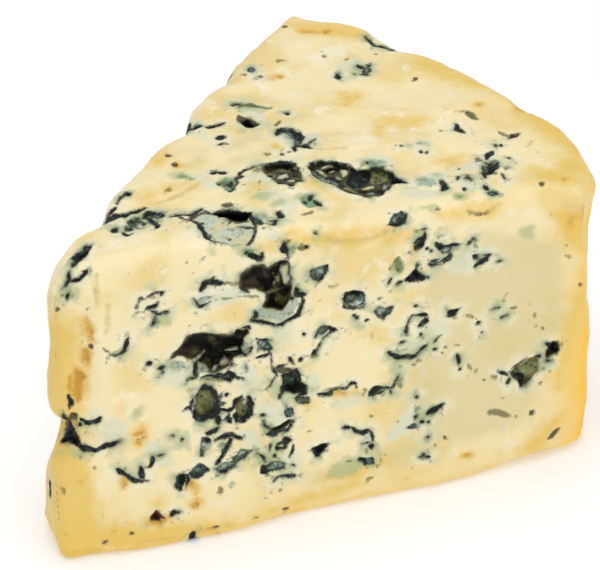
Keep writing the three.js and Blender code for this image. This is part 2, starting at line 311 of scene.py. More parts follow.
def noise(points, size, seed=0):
    """Value noise whose bumps are about size millimetres apart, eased from the eight corners of each cell."""
    place = points / size
    cell = np.floor(place).astype(np.int64)
    t = place - cell
    t = t * t * (3 - 2 * t)
    total = 0
    for corner in np.ndindex(2, 2, 2):
        weight = np.prod(np.where(corner, t, 1 - t), axis=1)
        total = total + weight * lattice_value(cell + corner, seed)
    return total


def rough_noise(points, size, seed=0, octaves=3):
    """Noise of halving size and height, summed."""
    return sum(noise(points, size / 2**k, seed + 17 * k) / 2**k for k in range(octaves))


# %% [markdown]
# ## The map of the mould
#
# Where the mould grows is what makes one wedge differ from the next, so its marks are drawn one by one, as a
# cheesemaker would point it out. Each mark is a brush stroke: a width and the points it runs through, or
# one point for a dot. A width of 0 fills the outline that the points make. The places on a cut are
# (distance from the wheel's axis, height); on the top they are (x, y).
#
# The kinds lie over each other in this order, from the bottom, and each means something in a real wheel:
#
# - *cool*: a duller, darker tone of the paste over broad stretches
# - *yellow*: paste that has ripened and turned waxy, and painted shade on the nose facet and along the
#   rounded top edge of the front cut
# - *bloom*: paste whitened by the mould's threads
# - *crease*: a fold in the soft paste, dented, with its shade painted on
# - *green*: a thin veil of young mould
# - *teal*: a blade of green mould
# - *amber*: where whey has dried
# - *dim*: the lit floor of a cave
# - *slate*: a gap full of ripe blue mould
# - *mist*: a skin of pale mould
# - *moss* and *olive*: old mould; one olive arc is painted shadow under a lip of the front cut
# - *pale*: lumps of curd that stand in a cave
# - *brown* and *rust*: dried mould, and whey dried dark in a hole; one brown dot on the top is painted
#   shade at its left edge
# - *dark*: the open cracks

# %% The front cut
FRONT_MARKS = {
    "yellow": [
        # the nose facet is partly its own yellower paste and partly painted shade; the strokes at heights of
        # 69 to 72 are painted shade on the rounded top edge and under its lips; the rest is ripened paste
        (0, (9, -4), (25, -4), (23, 14), (21, 30), (21, 44), (20, 62), (9, 62)),
        (7, (20, 3), (34, 0), (50, -2)), (3, (60, -1), (70, 1), (84, 3)), (3, (76, 6), (84, 6), (90, 8)),
        (4, (126, 2), (134, 10)), (4, (133, 20), (136, 44)), (6, (131, 66), (135, 58)),
        (3.5, (62, 71.5), (76, 71), (89, 70.5)), (2.5, (104, 72), (114, 71)), (2, (81, 28.5), (84, 28)),
        (1.6, (38, 9), (36.8, 7)), (2, (126.5, 27), (124, 26)), (2, (70.5, 28), (73, 27.6)),
        (3, (47, -1), (50, -1)), (2.4, (53, -1.4),), (1.4, (76.5, 70.6), (82, 69.3), (91, 70)),
    ],
    "bloom": [
        (0, (47, 59.5), (48, 63), (52, 63), (58, 62), (60, 60), (54, 58.4)),
        (0, (40.5, 46), (46, 45), (47, 41), (44, 39), (39, 40.5), (38, 44)), (2.4, (50, 44), (52, 40)),
        (3, (46.2, 37), (46.2, 33)), (5, (61.5, 29), (65.5, 25), (64, 22)), (3, (57, 23), (60, 20)),
        (3, (32, 18), (33, 17.4)), (2.5, (23.4, 35.4),), (5, (26, 30), (30, 31)),
        (2.4, (92.5, 38.6), (97, 38.4)), (2.6, (97.6, 63.6),), (2.5, (75.2, 46),),
        (3, (81, 53), (85, 53)), (2.4, (53.5, 29.4),), (4, (99, 41), (104, 42)), (3, (73, 36), (72, 30)),
        (2.6, (86, 15.2),), (3, (70, 12), (66, 14)), (4, (113, 61), (106, 57)),
        (2, (129.6, 26.4), (131.8, 25.2)), (4, (79, 26.4), (83, 26)), (5, (60, 35), (56, 41)),
        (4, (67, 46), (64, 52)), (3.6, (36, 25), (40, 19)), (4, (92, 14), (96, 20)),
    ],
    "cool": [
        (0, (96, 36), (100, 62), (112, 66), (130, 60), (133, 36), (126, 10), (104, 8), (92, 14)),
        (6, (74, 6), (90, 9), (104, 8)), (4, (62, 10), (72, 8)), (5, (92, 30), (108, 26)),
    ],
    "crease": [
        # each crease is dented and gets painted shade; the first two run under the lips at the top of the cut
        (1, (76.3, 70.6), (79.1, 69.2), (82.4, 68.9), (86.3, 68.4), (88.5, 69.5), (90.7, 71.1)),
        (0.8, (107.8, 72.3), (109.7, 70.8), (113.2, 70.6), (115.9, 72.2)),
        (0.7, (28.3, 63.5), (28.2, 59.6), (27.4, 56.3)), (0.8, (25.8, 71.9), (26, 68.3), (26, 64.2)),
    ],
    "green": [
        (3, (39, 57), (40.6, 58.4)), (3, (20.4, 69), (21.6, 67.2)), (2.6, (32.6, 33.5), (33.8, 35)),
        (2.8, (42, 27), (43, 24), (44.6, 21.5)), (3.4, (61, 47), (64.5, 45.4)), (2.6, (44.8, 41),),
        (1.6, (48, 39), (52, 38.4)), (2.6, (64, 36), (65, 31)), (2.4, (62.5, 23),), (2.6, (54.6, 44.6),),
        (3, (92, 61.5), (92.6, 58.8)), (2.4, (98, 67.6),), (3, (110.8, 58.4), (112, 59.4)),
        (2.4, (116.4, 46),), (3, (100.8, 38.4), (101.6, 36.4)), (2.8, (108.4, 33.6), (108.6, 31)),
        (2, (113.4, 37.4),), (3.4, (98.6, 17.2), (103.6, 20.4)), (3, (120.4, 24), (122, 26.4)),
        (3, (128, 28), (129, 25.6)), (2.6, (130.6, 26.6),), (3.4, (62.4, 13), (66.4, 11.6)),
        (2.8, (87, 8.4), (88.2, 7.4)), (2.2, (81.6, 9.8), (85, 8)), (2, (66.6, 27), (68, 27.4)),
        (3, (92.6, 33.6), (93.6, 29)), (2.4, (71.4, 32.6), (73.6, 31.4)), (2, (99, 74.6), (101, 73.6)),
        (2, (104.4, 46.8),), (3, (121, 64), (123.6, 62)), (2.6, (17.6, 27.6), (20, 26)),
        (2, (36.4, 21.6), (38.4, 22.4)), (2.6, (82.6, 53),), (2.4, (101.4, 67.4),),
        (1.6, (74.6, 43), (76, 44.8)), (3, (88.4, 28.4), (92, 28.4)), (2, (48.4, 27), (47.4, 30)),
        (2.4, (56.6, 27.4), (57.4, 31)), (1.8, (97.6, 46),), (2, (61.8, 62.6),),
        (2, (46.8, 19.6), (47.4, 23)), (5, (78, 7), (83, 9)), (4, (88, 10), (85, 14)),
        (3.4, (100.7, 64.8), (103.7, 60.6)), (3, (60, 14), (64, 16)), (2.6, (83.5, 46.8), (84.4, 45)),
    ],
    "teal": [
        (1.6, (68.6, 68.6), (68.8, 70.4)), (1.2, (54, 9.8),), (1.6, (92.4, 61.6), (93, 59.6)),
        (1.4, (110.8, 58.6), (111.6, 59)), (1.6, (63.6, 13), (66, 12.2)), (1.4, (44.4, 40.6), (46, 40.8)),
        (1.6, (100.6, 19.2), (103, 20)), (1.2, (69, 57.8), (69.6, 60)), (1.4, (62.6, 44.4), (63.2, 46)),
        (1.6, (52, 22.2), (52.4, 20.6)), (1.4, (66.2, 20.4), (67, 22)),
    ],
    "amber": [
        (1.6, (23, 61.3), (23.6, 59), (24, 56.5), (24.2, 55.5)),
        (1.9, (22.6, 53), (22.7, 51), (22.9, 50)),
        (2.3, (20.6, 48.5), (20.9, 46), (20.5, 43), (20.3, 40)), (1.2, (19.2, 47), (19, 43)),
        (0, (32.1, 29.2), (33.4, 29.6), (34.2, 30.5), (34.9, 28.4), (33.8, 27.6), (32.6, 27.9)),
        (0, (32.2, 26.7), (33, 25.2), (33.9, 26.4), (34.6, 27.3), (33.2, 27)),
        (1.0, (29.4, 17), (29.6, 15)), (2, (45, 12.6), (45.2, 10.8)), (0.7, (45.7, 11.5), (46.2, 9)),
        (2.4, (46.1, 6.6),), (1.6, (35.6, 4.3), (37.2, 3), (39, 3.9)), (0.9, (27, 3.2),),
        (0.9, (78, 29.5), (79.6, 28.8), (80.8, 28.4)), (0.9, (109.4, 4.5), (111.4, 4.2)),
        (0.9, (131.9, 65.6), (132.4, 63.8), (132.8, 62.3)), (0.9, (132.5, 65), (134, 64.8)),
        (1, (20, 18.6),), (0.8, (96.7, 64.6),),
    ],
    "dim": [
        (2.4, (41.6, 48), (44.4, 47.8), (46.6, 48.2)), (2.6, (57.6, 63.4), (60, 62.4)),
        (1.3, (64.6, 63.6), (64.4, 60)), (2, (56.4, 49.2), (57.6, 50.4)), (1.2, (61.6, 66.2), (62.4, 64)),
        (1.4, (67.2, 38.4), (69, 38.2)), (1.2, (49.6, 50.4), (51, 49.2)),
    ],
    "slate": [
        (0, (72.4, 63.4), (75, 64.3), (76.5, 64.3), (76, 62.6), (75.4, 60.9), (74, 60.1), (73, 60.8),
         (72.4, 62.2)), (0, (90, 72.1), (90.9, 74.4), (93.6, 74.2), (93.4, 72), (91.5, 71.3)),
        (0, (87.3, 49.6), (88.7, 50.9), (89.8, 49.9), (91.6, 50.2), (90.8, 48.3), (89, 47), (88.1, 48)),
        (1.6, (101.2, 64.6), (103, 62.4), (105.6, 62.8)), (1.4, (100, 60.2), (103.4, 60.6)),
        (0, (80, 53.4), (80.4, 56), (82.4, 56.3), (84.6, 55.4), (84.8, 52.6), (82, 51.6)),
        (0.8, (129, 27.2), (131, 26.8)),
        (0, (44.2, 15), (45.2, 16.2), (46.8, 17), (49.4, 15.1), (47.9, 13.4), (46.5, 12.8), (45.2, 13.4)),
        (0, (47.4, 24.4), (47, 22.5), (47.3, 18.8), (48, 18.8), (48.6, 21.5), (49.6, 23.3), (48.4, 24.4)),
        (0, (54.2, 17), (56.5, 18.8), (59.2, 18.4), (57.5, 16.9), (55.5, 16.1)),
        (0, (50.2, 15.2), (52, 16.2), (54, 16.1), (55.6, 16.4), (54.6, 14.2), (52.8, 13.5), (51, 14)),
        (2.2, (52, 28.4), (53.6, 29.2)), (1.6, (51.4, 32), (52.6, 32.6)),
        (0, (61, 12.6), (63.4, 13.8), (66.4, 13), (66.6, 11), (63.4, 10.8)),
        (2.2, (95.8, 16.2), (97.8, 15.6)), (2, (74.6, 47), (77, 47.2)), (2.2, (60.8, 46.6), (63.6, 44.6)),
        (2, (69.8, 29.4), (72, 28.4)), (2.4, (85.6, 9), (87.4, 8)), (2.6, (87, 27.6), (89.4, 27.6)),
        (2, (52.6, 39.2), (54.8, 39.6)), (2.6, (68, 25.9), (66.8, 27)), (1.8, (56.6, 50.4),),
        (2.4, (66.8, 36), (68.6, 34)),
    ],
    "mist": [
        (0, (60.4, 55.6), (61.6, 55.4), (64.2, 54.5), (66, 53.8), (67.2, 55.2), (68.6, 57),
         (69.7, 57.2), (70.1, 55.4), (69, 53.4), (67.4, 52.3), (65.6, 52), (62.6, 53.3), (60.2, 54)),
        (1.2, (47, 60.4), (49.4, 61), (51, 61.2)), (1, (101.8, 63.2), (104, 62.4)),
        (1.4, (81.4, 54.6), (83, 53.6)), (1.2, (74, 62.8), (75.4, 62)), (1.2, (88.6, 49.8), (89.6, 49)),
        (1, (46, 15), (47.6, 15)), (1, (56, 17.6), (57.4, 17.8)), (1.2, (52.4, 15), (53.8, 15.4)),
        (1.6, (41.6, 45.6), (44, 44.4)), (1.2, (57.4, 42), (58, 39.8)), (1.2, (65, 12.4), (64, 12)),
        (1.4, (97, 65.6), (97.6, 66)), (1, (105, 61.8), (106, 62.8)), (1.4, (61, 44.8), (61.6, 46.4)),
        (1.2, (66, 29.6), (67, 27.6)), (1.2, (49, 23), (48, 20.6)), (1, (98, 15.6), (99.4, 17.4)),
    ],
    "moss": [
        (3.8, (66.4, 58),), (0.9, (47.6, 44.2), (48.6, 42.8)),
        (0, (122, 27.8), (124.2, 28.8), (127, 28.6), (127.5, 25.2), (125.6, 23.4), (123.8, 24.2)),
        (1.6, (130.2, 31), (131, 29.4)),
        (0, (55.7, 31.6), (57, 32), (58, 30.6), (57.8, 28.2), (56.6, 27.3), (55.6, 28.4)),
        (0, (46.6, 35), (47.8, 36.6), (49.4, 36.4), (50.3, 34.6), (50, 32.2), (49, 30.7), (47.4, 30.4),
         (46.4, 32.4)), (1.4, (45, 47.4), (47, 47.2)), (1.4, (92.2, 62), (93, 59)), (1.6, (66.6, 17.4),),
        (1.4, (88, 27.8), (90, 28.2)), (1.2, (110, 31), (111, 28.6)), (1.2, (116, 25.6), (117.4, 25)),
        (1.4, (93.4, 30), (94, 27.6)),
    ],
    "olive": [
        (0.8, (18.3, 68.3),), (0.6, (48.3, 70.3), (48.9, 71.7)),
        (0.7, (52.6, 64.4), (54.8, 63.4), (56.6, 63.8)), (0.7, (51.5, 60.1), (55.5, 60), (60.9, 58.9)),
        (0.9, (47, 57.5),), (0.6, (45.3, 54.9), (46.2, 55.1)), (0.7, (64.6, 62.5), (64, 60)),
        (1, (67.3, 71.4), (68, 71.6)), (0.8, (70.4, 70), (70.9, 70)), (2.6, (48, 42.4), (48.8, 44.4)),
        (0.6, (28.2, 50), (27.4, 48.6)), (0.8, (50.6, 12.6), (51.2, 13.2)),
        (1.4, (51.3, 9.4), (51.3, 7.8)), (0.9, (72, 20.3), (72.8, 20.4)), (0.8, (78.4, 58.6),),
        (0.8, (76.5, 57.8), (78, 58)), (0.7, (90.3, 60.2), (91.5, 62), (92.8, 63)),
        (0.8, (73, 40.4), (74.8, 40.4)), (0.8, (76.4, 40.4),),
        (0.8, (96.3, 32.8), (97.6, 33.9), (99, 34.2)), (0.6, (76, 30.7), (79.8, 30.4)),
        (0.9, (85.5, 28.6),), (0.9, (86.9, 20.9),), (0.8, (93.3, 18.2),),
        (1.6, (115.7, 15.4), (117.2, 15.2), (118.8, 14.4), (121, 13)), (0.9, (118.9, 18.8),),
        (0.8, (107.9, 16.6),), (0.8, (118, 47.6), (118.9, 48.2)), (0.8, (118, 46.2),),
        (0.8, (108.7, 43.6), (109.6, 44.1)), (0.8, (110.4, 43.2),), (0.6, (106, 36.6), (107.4, 36.3)),
        (0.7, (104.3, 36.3),), (0.5, (103.4, 35), (104.5, 34)), (0.8, (114.1, 25.2),),
        (0.7, (111.6, 27.5), (112.6, 28.4)), (0.7, (110.3, 27.2),), (0.8, (117.2, 25.4), (117, 24.4)),
        (0.8, (118.8, 26), (119.4, 25.8)), (0.9, (119.6, 43.6), (121.2, 43.9)),
        (1.2, (132, 55.2), (133.2, 54.4)), (1, (131.5, 58),), (1.6, (125, 28), (127, 27.6)),
        (1, (128.4, 25.2),), (0.9, (130.5, 23.8),), (0.9, (128.3, 20.9),), (0.8, (124.8, 18.9),),
        (0.6, (125.6, 41), (125.6, 39.8)), (0.7, (126, 37.4),), (0.7, (127.6, 36.5),),
        (1.2, (122.6, 12.4),), (0.8, (85.5, 12),), (0.8, (85.6, 11.2),), (0.9, (89.3, 8.4),),
        (0.9, (90.6, 9.6),), (0.9, (85.6, 2.4), (86.6, 3.4), (87.8, 3.8)), (0.5, (101, 7.4), (103, 9.8)),
        (0.8, (23.1, 21.5),), (0.7, (22.9, 25.1),), (0.8, (15.8, 18.5), (16.1, 16)), (1, (62, 4.3),),
        (0.9, (63.4, 5.5),), (0.8, (65.6, 5.4),), (1, (62, 10.4), (63, 10.2)),
        (0.8, (70.3, 29), (72.2, 28.4)), (0.8, (66.9, 58.8),),
        # the first arc here is painted shadow under the lip at the top of the front cut
        (1, (108.3, 72), (109, 70.8), (111, 70.4), (113.5, 70.8)), (0.7, (80.6, 9.4), (82, 9.8)),
        (0.8, (64.6, 59.4),), (1.2, (47.6, 33), (48.4, 31.6)),
        (0.8, (59.2, -2.4), (59.9, -1), (60.8, -2)), (1, (88.7, 6.8),), (1, (129.8, 28), (130.6, 30)),
        (0.7, (72.2, 14.5),), (0.7, (60, 31.9),), (0.7, (63.9, 64.8), (64.4, 62.4), (63.3, 60.6)),
        (0.6, (65, 64.2), (64.9, 61.8)), (0.8, (60.8, 61.4), (62, 60.8)),
        (0.7, (47.6, 39.8), (50, 39.4), (52.4, 38.5)), (0.8, (53.6, 45.7), (56, 45.3), (57.6, 44.6)),
        (0.7, (65, 56.6), (66.6, 56), (68.2, 57.2)),
    ],
    "pale": [
        (0, (65.6, 66.3), (67.5, 66.3), (67.7, 63.5), (68.2, 62.3), (67.2, 60.6), (66, 61.5),
         (65.7, 63.3), (65.2, 65)), (0.5, (63.8, 65), (64.3, 62.6), (63.2, 60.6)),
        (0.4, (65, 64.6), (64.9, 62)), (0.7, (46, 35.8), (46, 33.6)), (0.8, (57.7, 32.4),),
        (0.7, (55, 33.6),),
        (0, (45, 45.8), (46.2, 46.4), (47.3, 47.1), (48.4, 47.9), (49, 47.5), (48, 46.2), (47.2, 45.2),
         (46.4, 44.8)),
        (0, (46.8, 45), (48.4, 43.9), (49.9, 41.7), (48.9, 41), (47.1, 41.8), (46.6, 43.6)),
        (0, (52.9, 46.7), (54.5, 47.3), (56.1, 47), (56.1, 45.6), (54.8, 45.6), (53.4, 45.9)),
        (0, (57.4, 49.1), (59, 49.5), (59.7, 47.9), (58.3, 45.7), (56.9, 45.1), (56.4, 46.3), (57, 47.6)),
        (0, (51.7, 44.3), (52.9, 44.9), (54.1, 43.6), (53.9, 42.2), (52.4, 42), (51.5, 43.1)),
        (1.3, (50.2, 41.6), (51.3, 42.8)), (1.8, (53.2, 29.8), (52, 28.3)), (1.2, (57.7, 31.8),),
        (2.6, (67.6, 31.4), (67.8, 29.6)), (0.9, (47.3, 14.9),), (0.9, (53.5, 18.6), (55, 19.6)),
        (1, (98, 57.2),), (1, (88.9, 48.8),), (1.4, (81.6, 52.8), (84, 53)), (1.2, (47.6, 22),),
        (1, (65.8, 17.4),), (1.4, (121.8, 25.6),), (1.6, (85.8, 15.2),), (1.6, (31.6, 18.3),),
        (1.8, (23.3, 34.9),), (1, (48.9, -2.6), (50.6, -2)), (1, (103.6, 61.6), (101.6, 60.2)),
        (0.8, (61.4, 54.2), (64.2, 53.4), (66.4, 53.2)), (1, (68.4, 54.4), (69.4, 56.2)),
        (1.2, (60.6, 58.6), (61.4, 57.4), (60.4, 55.6)), (1.2, (66, 23.3),),
    ],
    "brown": [
        (0.6, (24, 63.9), (23.5, 63.4)), (1.2, (17.2, 64.8),), (0.5, (32.9, 70.4),), (0.5, (45.2, 70.6),),
        (0.5, (46.8, 67.8),), (1.6, (23.3, 54), (24, 53.5)), (0.5, (26.6, 52.8), (27.9, 51.2)),
        (2.4, (65.6, 59.4), (67.4, 59)), (1.8, (65, 38.6), (67.8, 38.2)), (0.4, (33.2, 27), (34.4, 27.5)),
        (1.2, (96.7, 64.6),), (0.8, (95, 63.6),), (1, (31.3, 1.6),), (1.2, (25, 0.3),),
        (1.4, (50.9, -2.3),), (1.8, (66.9, -1),), (1.4, (126.7, 12.5),), (1.6, (131.5, 4), (134, 6.4)),
        (0, (130.4, 32.4), (131.9, 31.6), (132.4, 28.8), (131.5, 28.2), (130.6, 30.6)), (1, (136.2, 47),),
        (2, (18.9, 35.9),), (1.4, (56.4, 50.6),), (1, (105, 11),),
    ],
    "rust": [
        (0, (36.7, 6.8), (35.2, 5), (36, 4.2), (39, 4.4), (38, 5.6)), (0.7, (96.8, 65.1), (98, 64.9)),
    ],
    "dark": [
        # the nose and the crevice
        (1.1, (20.4, 71.1), (22.2, 71), (23.1, 72), (23.6, 73)),
        (0.7, (19.8, 73.5), (19.7, 71.5), (18.6, 69.8)), (1.1, (19.6, 68.2), (19.5, 67.2)),
        (0.9, (18.5, 41.8), (18.8, 40), (18.3, 38.2)),
        (0, (16.7, 38.2), (17.6, 36), (18.2, 34), (20.1, 30.9), (20.4, 28.8), (22.8, 26.9), (22.8, 26),
         (21, 26.4), (19.5, 28.6), (17.5, 30), (15.6, 29.4), (15.8, 34.2)),
        (1.2, (20.6, 28.2), (23.5, 26.3), (29, 27.4)),
        (1.3, (20.6, 35), (22.1, 33.6), (24.1, 33.8), (25.3, 35)), (0.8, (20.3, 33.7),),
        (0.8, (12.4, 19.7), (12.4, 15.7)),
        # left of the caves
        (1.1, (35.3, 63.4),), (0.5, (35.2, 63), (34.4, 62), (34.2, 61)),
        (0.8, (36.5, 63.6), (38, 64.6), (39.7, 64.5)), (0.6, (39, 62.2), (38.7, 61.8)),
        (1.2, (36.4, 60.5), (38.5, 61.5)), (0.8, (37.5, 60), (38.6, 59), (41, 59.4)),
        (0.5, (38, 58.5), (37.5, 57), (36.7, 55.9)), (0.5, (28.4, 50.5), (29.4, 50)),
        (0.8, (29.4, 50), (30.8, 50.7), (31.5, 52), (32.2, 54.8)), (1, (35.9, 46.3), (36.7, 47.5)),
        (1, (39.7, 64.3),), (0.8, (38.6, 45), (39.6, 45.7)), (0.5, (38.8, 43.2), (39.4, 44)),
        # the slit and the first cave
        (1.6, (48.4, 63), (49.3, 64.8), (50.4, 64.9), (52, 64.4), (52.8, 63.9)),
        (0.5, (50.4, 65.4), (51.6, 66)), (0.9, (46.8, 61.3),),
        (0.6, (46.8, 61.3), (47.9, 59), (49.6, 59.2), (50.4, 60)), (0.8, (57, 62.4), (58.4, 60.8)),
        (0.8, (60.1, 55.2), (60.2, 53.9), (59.3, 53)),
        (1, (59.2, 52.8), (61.5, 52.4), (64, 51.3), (66, 50.7), (69.8, 52.6), (70.8, 55.8), (70.4, 56.8)),
        (1.4, (69.2, 59.8), (69.3, 57.8), (71, 57.6)), (0.7, (68.3, 56.6), (69.2, 57.8)),
        (0.7, (68.2, 69.6), (67.4, 67.4), (65.3, 66.8)), (1.1, (66.6, 71.6), (67, 69.9)),
        (0.8, (59, 69.9), (60.5, 68.8), (61.5, 69), (61.9, 69.8)), (1.2, (58.3, 70.6),),
        # the second cave and below it
        (0.9, (53.8, 45.9), (56, 45.4), (57.6, 44.4), (58.6, 45), (58.9, 46.2)),
        (0.8, (54.6, 45), (54.7, 42.6), (53.8, 41.4)),
        (0.9, (53, 39.2), (54, 40.6), (55.3, 39.6), (54.4, 38.4), (53.2, 38.6)),
        (0.8, (55.5, 39.2), (57.3, 38.2)), (0.8, (47.5, 39.9), (49.5, 40.6), (53, 39.5)),
        (0.8, (46.2, 44.6), (46.3, 42.4), (46.8, 41.2)), (1.3, (51, 40.3), (52.3, 40.3)),
        (0.6, (44.2, 39.9), (45.5, 40.6), (46.6, 40.4)), (0.8, (56.8, 51.4), (58.6, 51.5), (58.9, 50.9)),
        # the two round pockets
        (1.1, (46.9, 36.9), (48.2, 37.7), (49.8, 37.3), (50.9, 35.7), (51.2, 33.4)),
        (1.6, (51.2, 33.6), (50.8, 31), (49.6, 29.5), (47.8, 29.2), (46, 30.4)),
        (0.7, (46.4, 30.2), (45.3, 32.6), (45.4, 35), (46.6, 36.8)), (0.9, (43.4, 32.5), (44.8, 33.2)),
        (0.6, (52.5, 35.6), (51.8, 34), (51, 33.4)), (0.8, (53.4, 34.6),),
        (1.3, (51.6, 30.8), (53.4, 30.3), (54.8, 31)), (1.5, (53.5, 28.4), (54, 26.8)),
        (1.2, (51.4, 27.4), (51, 29.4)), (1.5, (54.9, 30.6), (55.1, 32.4), (56.6, 33)),
        (1.2, (58.4, 32.8), (59, 30.6), (58.5, 28), (57.2, 26.7)),
        (1.6, (57.4, 26.7), (55.6, 27), (54.8, 29.2)), (1.2, (48.3, 25.4), (50.5, 25.6), (51.2, 26.3)),
        # the chain of hollows
        (0.6, (60.2, 47.9), (61.5, 47.4), (63.6, 46.9)), (0.6, (62.8, 45.4), (63.2, 46.3)),
        (0.9, (60.3, 42.9), (62.2, 43.2), (63.2, 43.5)), (0.5, (63.3, 44.4), (63.4, 41.2), (64, 39.8)),
        (0.9, (71, 47.3),), (0.9, (67.5, 41.4), (68.1, 40.6), (68.8, 39.5)),
        (1, (69.9, 40.2), (70.5, 40.8)),
        (1.2, (66.2, 37), (67.8, 37.2), (69.2, 38.2), (69.7, 36.5), (69.5, 34.2), (71, 33), (70.9, 31),
         (69.4, 30.2)), (0.9, (69.3, 31.5), (68.3, 32.6), (66, 32.7), (66.2, 34)),
        (0.7, (62.7, 34.2), (64, 36.2), (65, 37.2), (64.2, 38.9), (65.5, 39.6), (67.5, 39.9)),
        (0.6, (65.8, 32.4), (65.5, 30.5)),
        (0.9, (62.6, 21.8), (66, 21.4), (67.2, 21.3), (68.4, 23.4), (68.6, 24.6)),
        (1.4, (63.4, 22.9), (65.6, 23.2), (67.6, 24.4)), (0.6, (61.3, 25.5), (62, 24.2), (63, 23.4)),
        (0.8, (61.3, 27.4),),
        # low, from the nose
        (1.8, (28.4, 20), (29.6, 18.6)), (1.1, (29.6, 18.6), (30.7, 17.1), (32.1, 16.1), (34.8, 15.3)),
        (1.4, (33.4, 19.5), (33.9, 17.5), (34, 16)), (0.8, (34.5, 19.3),),
        (1.2, (35.2, 19), (36, 20.6), (36.3, 21.3)), (0.8, (37.3, 21.6), (38.4, 21.9)),
        (0.7, (40.8, 26),), (0.8, (42.9, 24.6),), (1.6, (40.6, 4.9),), (1, (41.9, 4.7),),
        (0, (41.2, 15), (41.2, 12.2), (42.2, 11), (43.2, 12.2), (44, 15.2)),
        (0.9, (43.6, 11.1), (44.4, 13), (44.4, 15)), (1.2, (48.6, 22.4), (49, 23.6)),
        (1.6, (51, 16.8), (52.2, 18.2), (53.5, 21), (54.2, 22.4)),
        (1.2, (50.4, 22.9), (52, 23.6), (54.5, 23.4), (55.4, 22.6), (56.5, 21.8)),
        (1, (51, 14.2), (53, 13.5), (55, 14.4)), (0.7, (63, 17.2), (63.4, 18.8)),
        (0.9, (65, 18.4), (66.6, 18.2), (66.4, 16.8), (65, 16.8), (64.8, 18)),
        (1.3, (66.6, 18.8), (67.8, 18.6), (67, 17.6)), (0.6, (68.5, 17), (68.4, 15.5), (67.6, 14)),
        (0.8, (64.3, 15.2),), (0.6, (68.1, 11.9), (68.6, 11.4)), (0.5, (60, 17), (61.3, 16), (62, 14)),
        (1.6, (61.3, 13), (61.6, 11.4), (63, 11.2)), (0.8, (64, 8.2), (64.8, 9), (66.6, 9), (69, 8.4)),
        (2, (45.1, -3.4),), (0.9, (45.3, -3), (45.8, -2)),
        (0, (72.8, 15), (74.2, 15.3), (75.4, 16.1), (77, 15.8), (76, 13.7), (75, 13.4), (74.9, 12.3),
         (73.7, 12.3)), (0.6, (80, 19.6), (82, 18.9)),
        (1.5, (82.6, 18.7), (83.6, 17.6), (85, 16.9), (86.2, 17.2)),
        (0.8, (86.8, 16.6), (87.3, 15.2), (87.2, 14)), (0.6, (84.8, 14), (86.2, 13.9)),
        (1.3, (87, 12.6),), (1.2, (84, 9.6), (85.4, 8.8), (85.9, 7.4)),
        # the middle
        (0.7, (73.8, 72.8),), (0.9, (76, 64), (75.8, 62), (74.4, 60.2)),
        (1.4, (80.5, 53.9), (82.4, 55.8), (84.2, 55.2)),
        (0.6, (80, 54.5), (80.2, 52.4), (82, 51.4), (84, 51.3), (85, 52.4)),
        (0.8, (88, 53.2), (88.8, 53.2)), (0.6, (90.1, 56.3), (90.8, 57.8)), (0.6, (92, 56), (93.3, 56.6)),
        (0, (93.8, 56.6), (95.2, 58), (96.6, 59.3), (97.2, 57.6), (99.8, 56.8), (98.5, 56.1),
         (95.3, 55.9)), (0.8, (99.5, 56.6),), (0.5, (96.6, 59), (96.8, 60.4)), (0.7, (82.6, 49.4),),
        (0.8, (83.4, 48.5),), (0.8, (85.4, 47.7),), (1.1, (76.8, 46.6), (78.6, 46.5)),
        (0.6, (73.6, 45.6), (74.2, 46.8)), (0.7, (77.6, 46), (75.6, 45), (74.9, 43.5), (74.7, 42)),
        (1.1, (73.2, 41), (74.5, 41.7)),
        (1.3, (90.9, 37.6), (92, 36.6), (93.5, 35.6), (96, 35.4), (98, 36.2), (99.6, 37.7)),
        (0.7, (93.3, 39.6), (94.3, 40)), (0.6, (96.3, 46.9), (95.1, 45), (94.4, 43), (95, 41.6)),
        (1.3, (97.7, 43.4), (98.5, 44.1), (99.7, 44.7)), (0.8, (96.5, 46.8), (98.5, 46.5), (99.8, 45.6)),
        (0.8, (97, 49.5),), (0.8, (98.2, 41),), (0.7, (74.6, 29.6), (77.5, 29.8), (81.4, 30.3)),
        (1, (81.6, 31.1), (83, 30.9)), (1.1, (74.4, 30), (76.8, 29.4), (77.6, 29)),
        (0.5, (83.2, 30.4), (83.4, 29.7)), (1, (86.8, 27.3), (88, 27.8), (89.5, 27.9)),
        (0.7, (87.4, 28.7), (88.6, 29)), (0.6, (88.5, 28.2), (91.7, 27.6), (92.6, 29.4), (93.3, 31)),
        (0.5, (91.6, 27), (92, 26)),
        # towards the rind
        (1, (96.1, 65.2), (96.8, 66.2), (98.2, 66.4), (97.8, 65.2), (96.4, 64.6)),
        (0.5, (98.4, 66.5), (98.4, 68.2)), (0.6, (97.8, 68.8), (98.7, 69.2)), (0.7, (99.1, 63.7),),
        (0.6, (100, 63.2), (100.3, 62.4)), (0.7, (101.2, 65), (101.4, 63.9), (102, 63.2), (106.6, 63.2)),
        (0.9, (104.6, 61.2), (104, 60.2), (102.8, 59.3)), (0.7, (102.8, 59.2), (99.3, 59.6)),
        (0.5, (102.4, 66.6), (103, 66.3)), (0.7, (108.9, 63), (109.5, 64.3), (110.3, 63.7)),
        (0.6, (110, 61),), (1.2, (109.8, 59.6), (110.6, 59.3)),
        (0.5, (110.5, 60), (112, 59.9), (114, 59.6)), (1.1, (110.2, 56.8), (111.5, 57.6), (113.4, 59.2)),
        (0.8, (115.2, 57.3), (116.4, 57.2)), (0.5, (115.2, 44.4), (116.8, 44.8)),
        (0, (104, 47.6), (104.4, 46.2), (107.4, 46.3), (106.6, 44.2), (105, 44.4), (103.6, 44.7),
         (104.6, 45.4)), (0.9, (111.8, 41.2), (112.4, 41.6)), (0.7, (113, 38.5),),
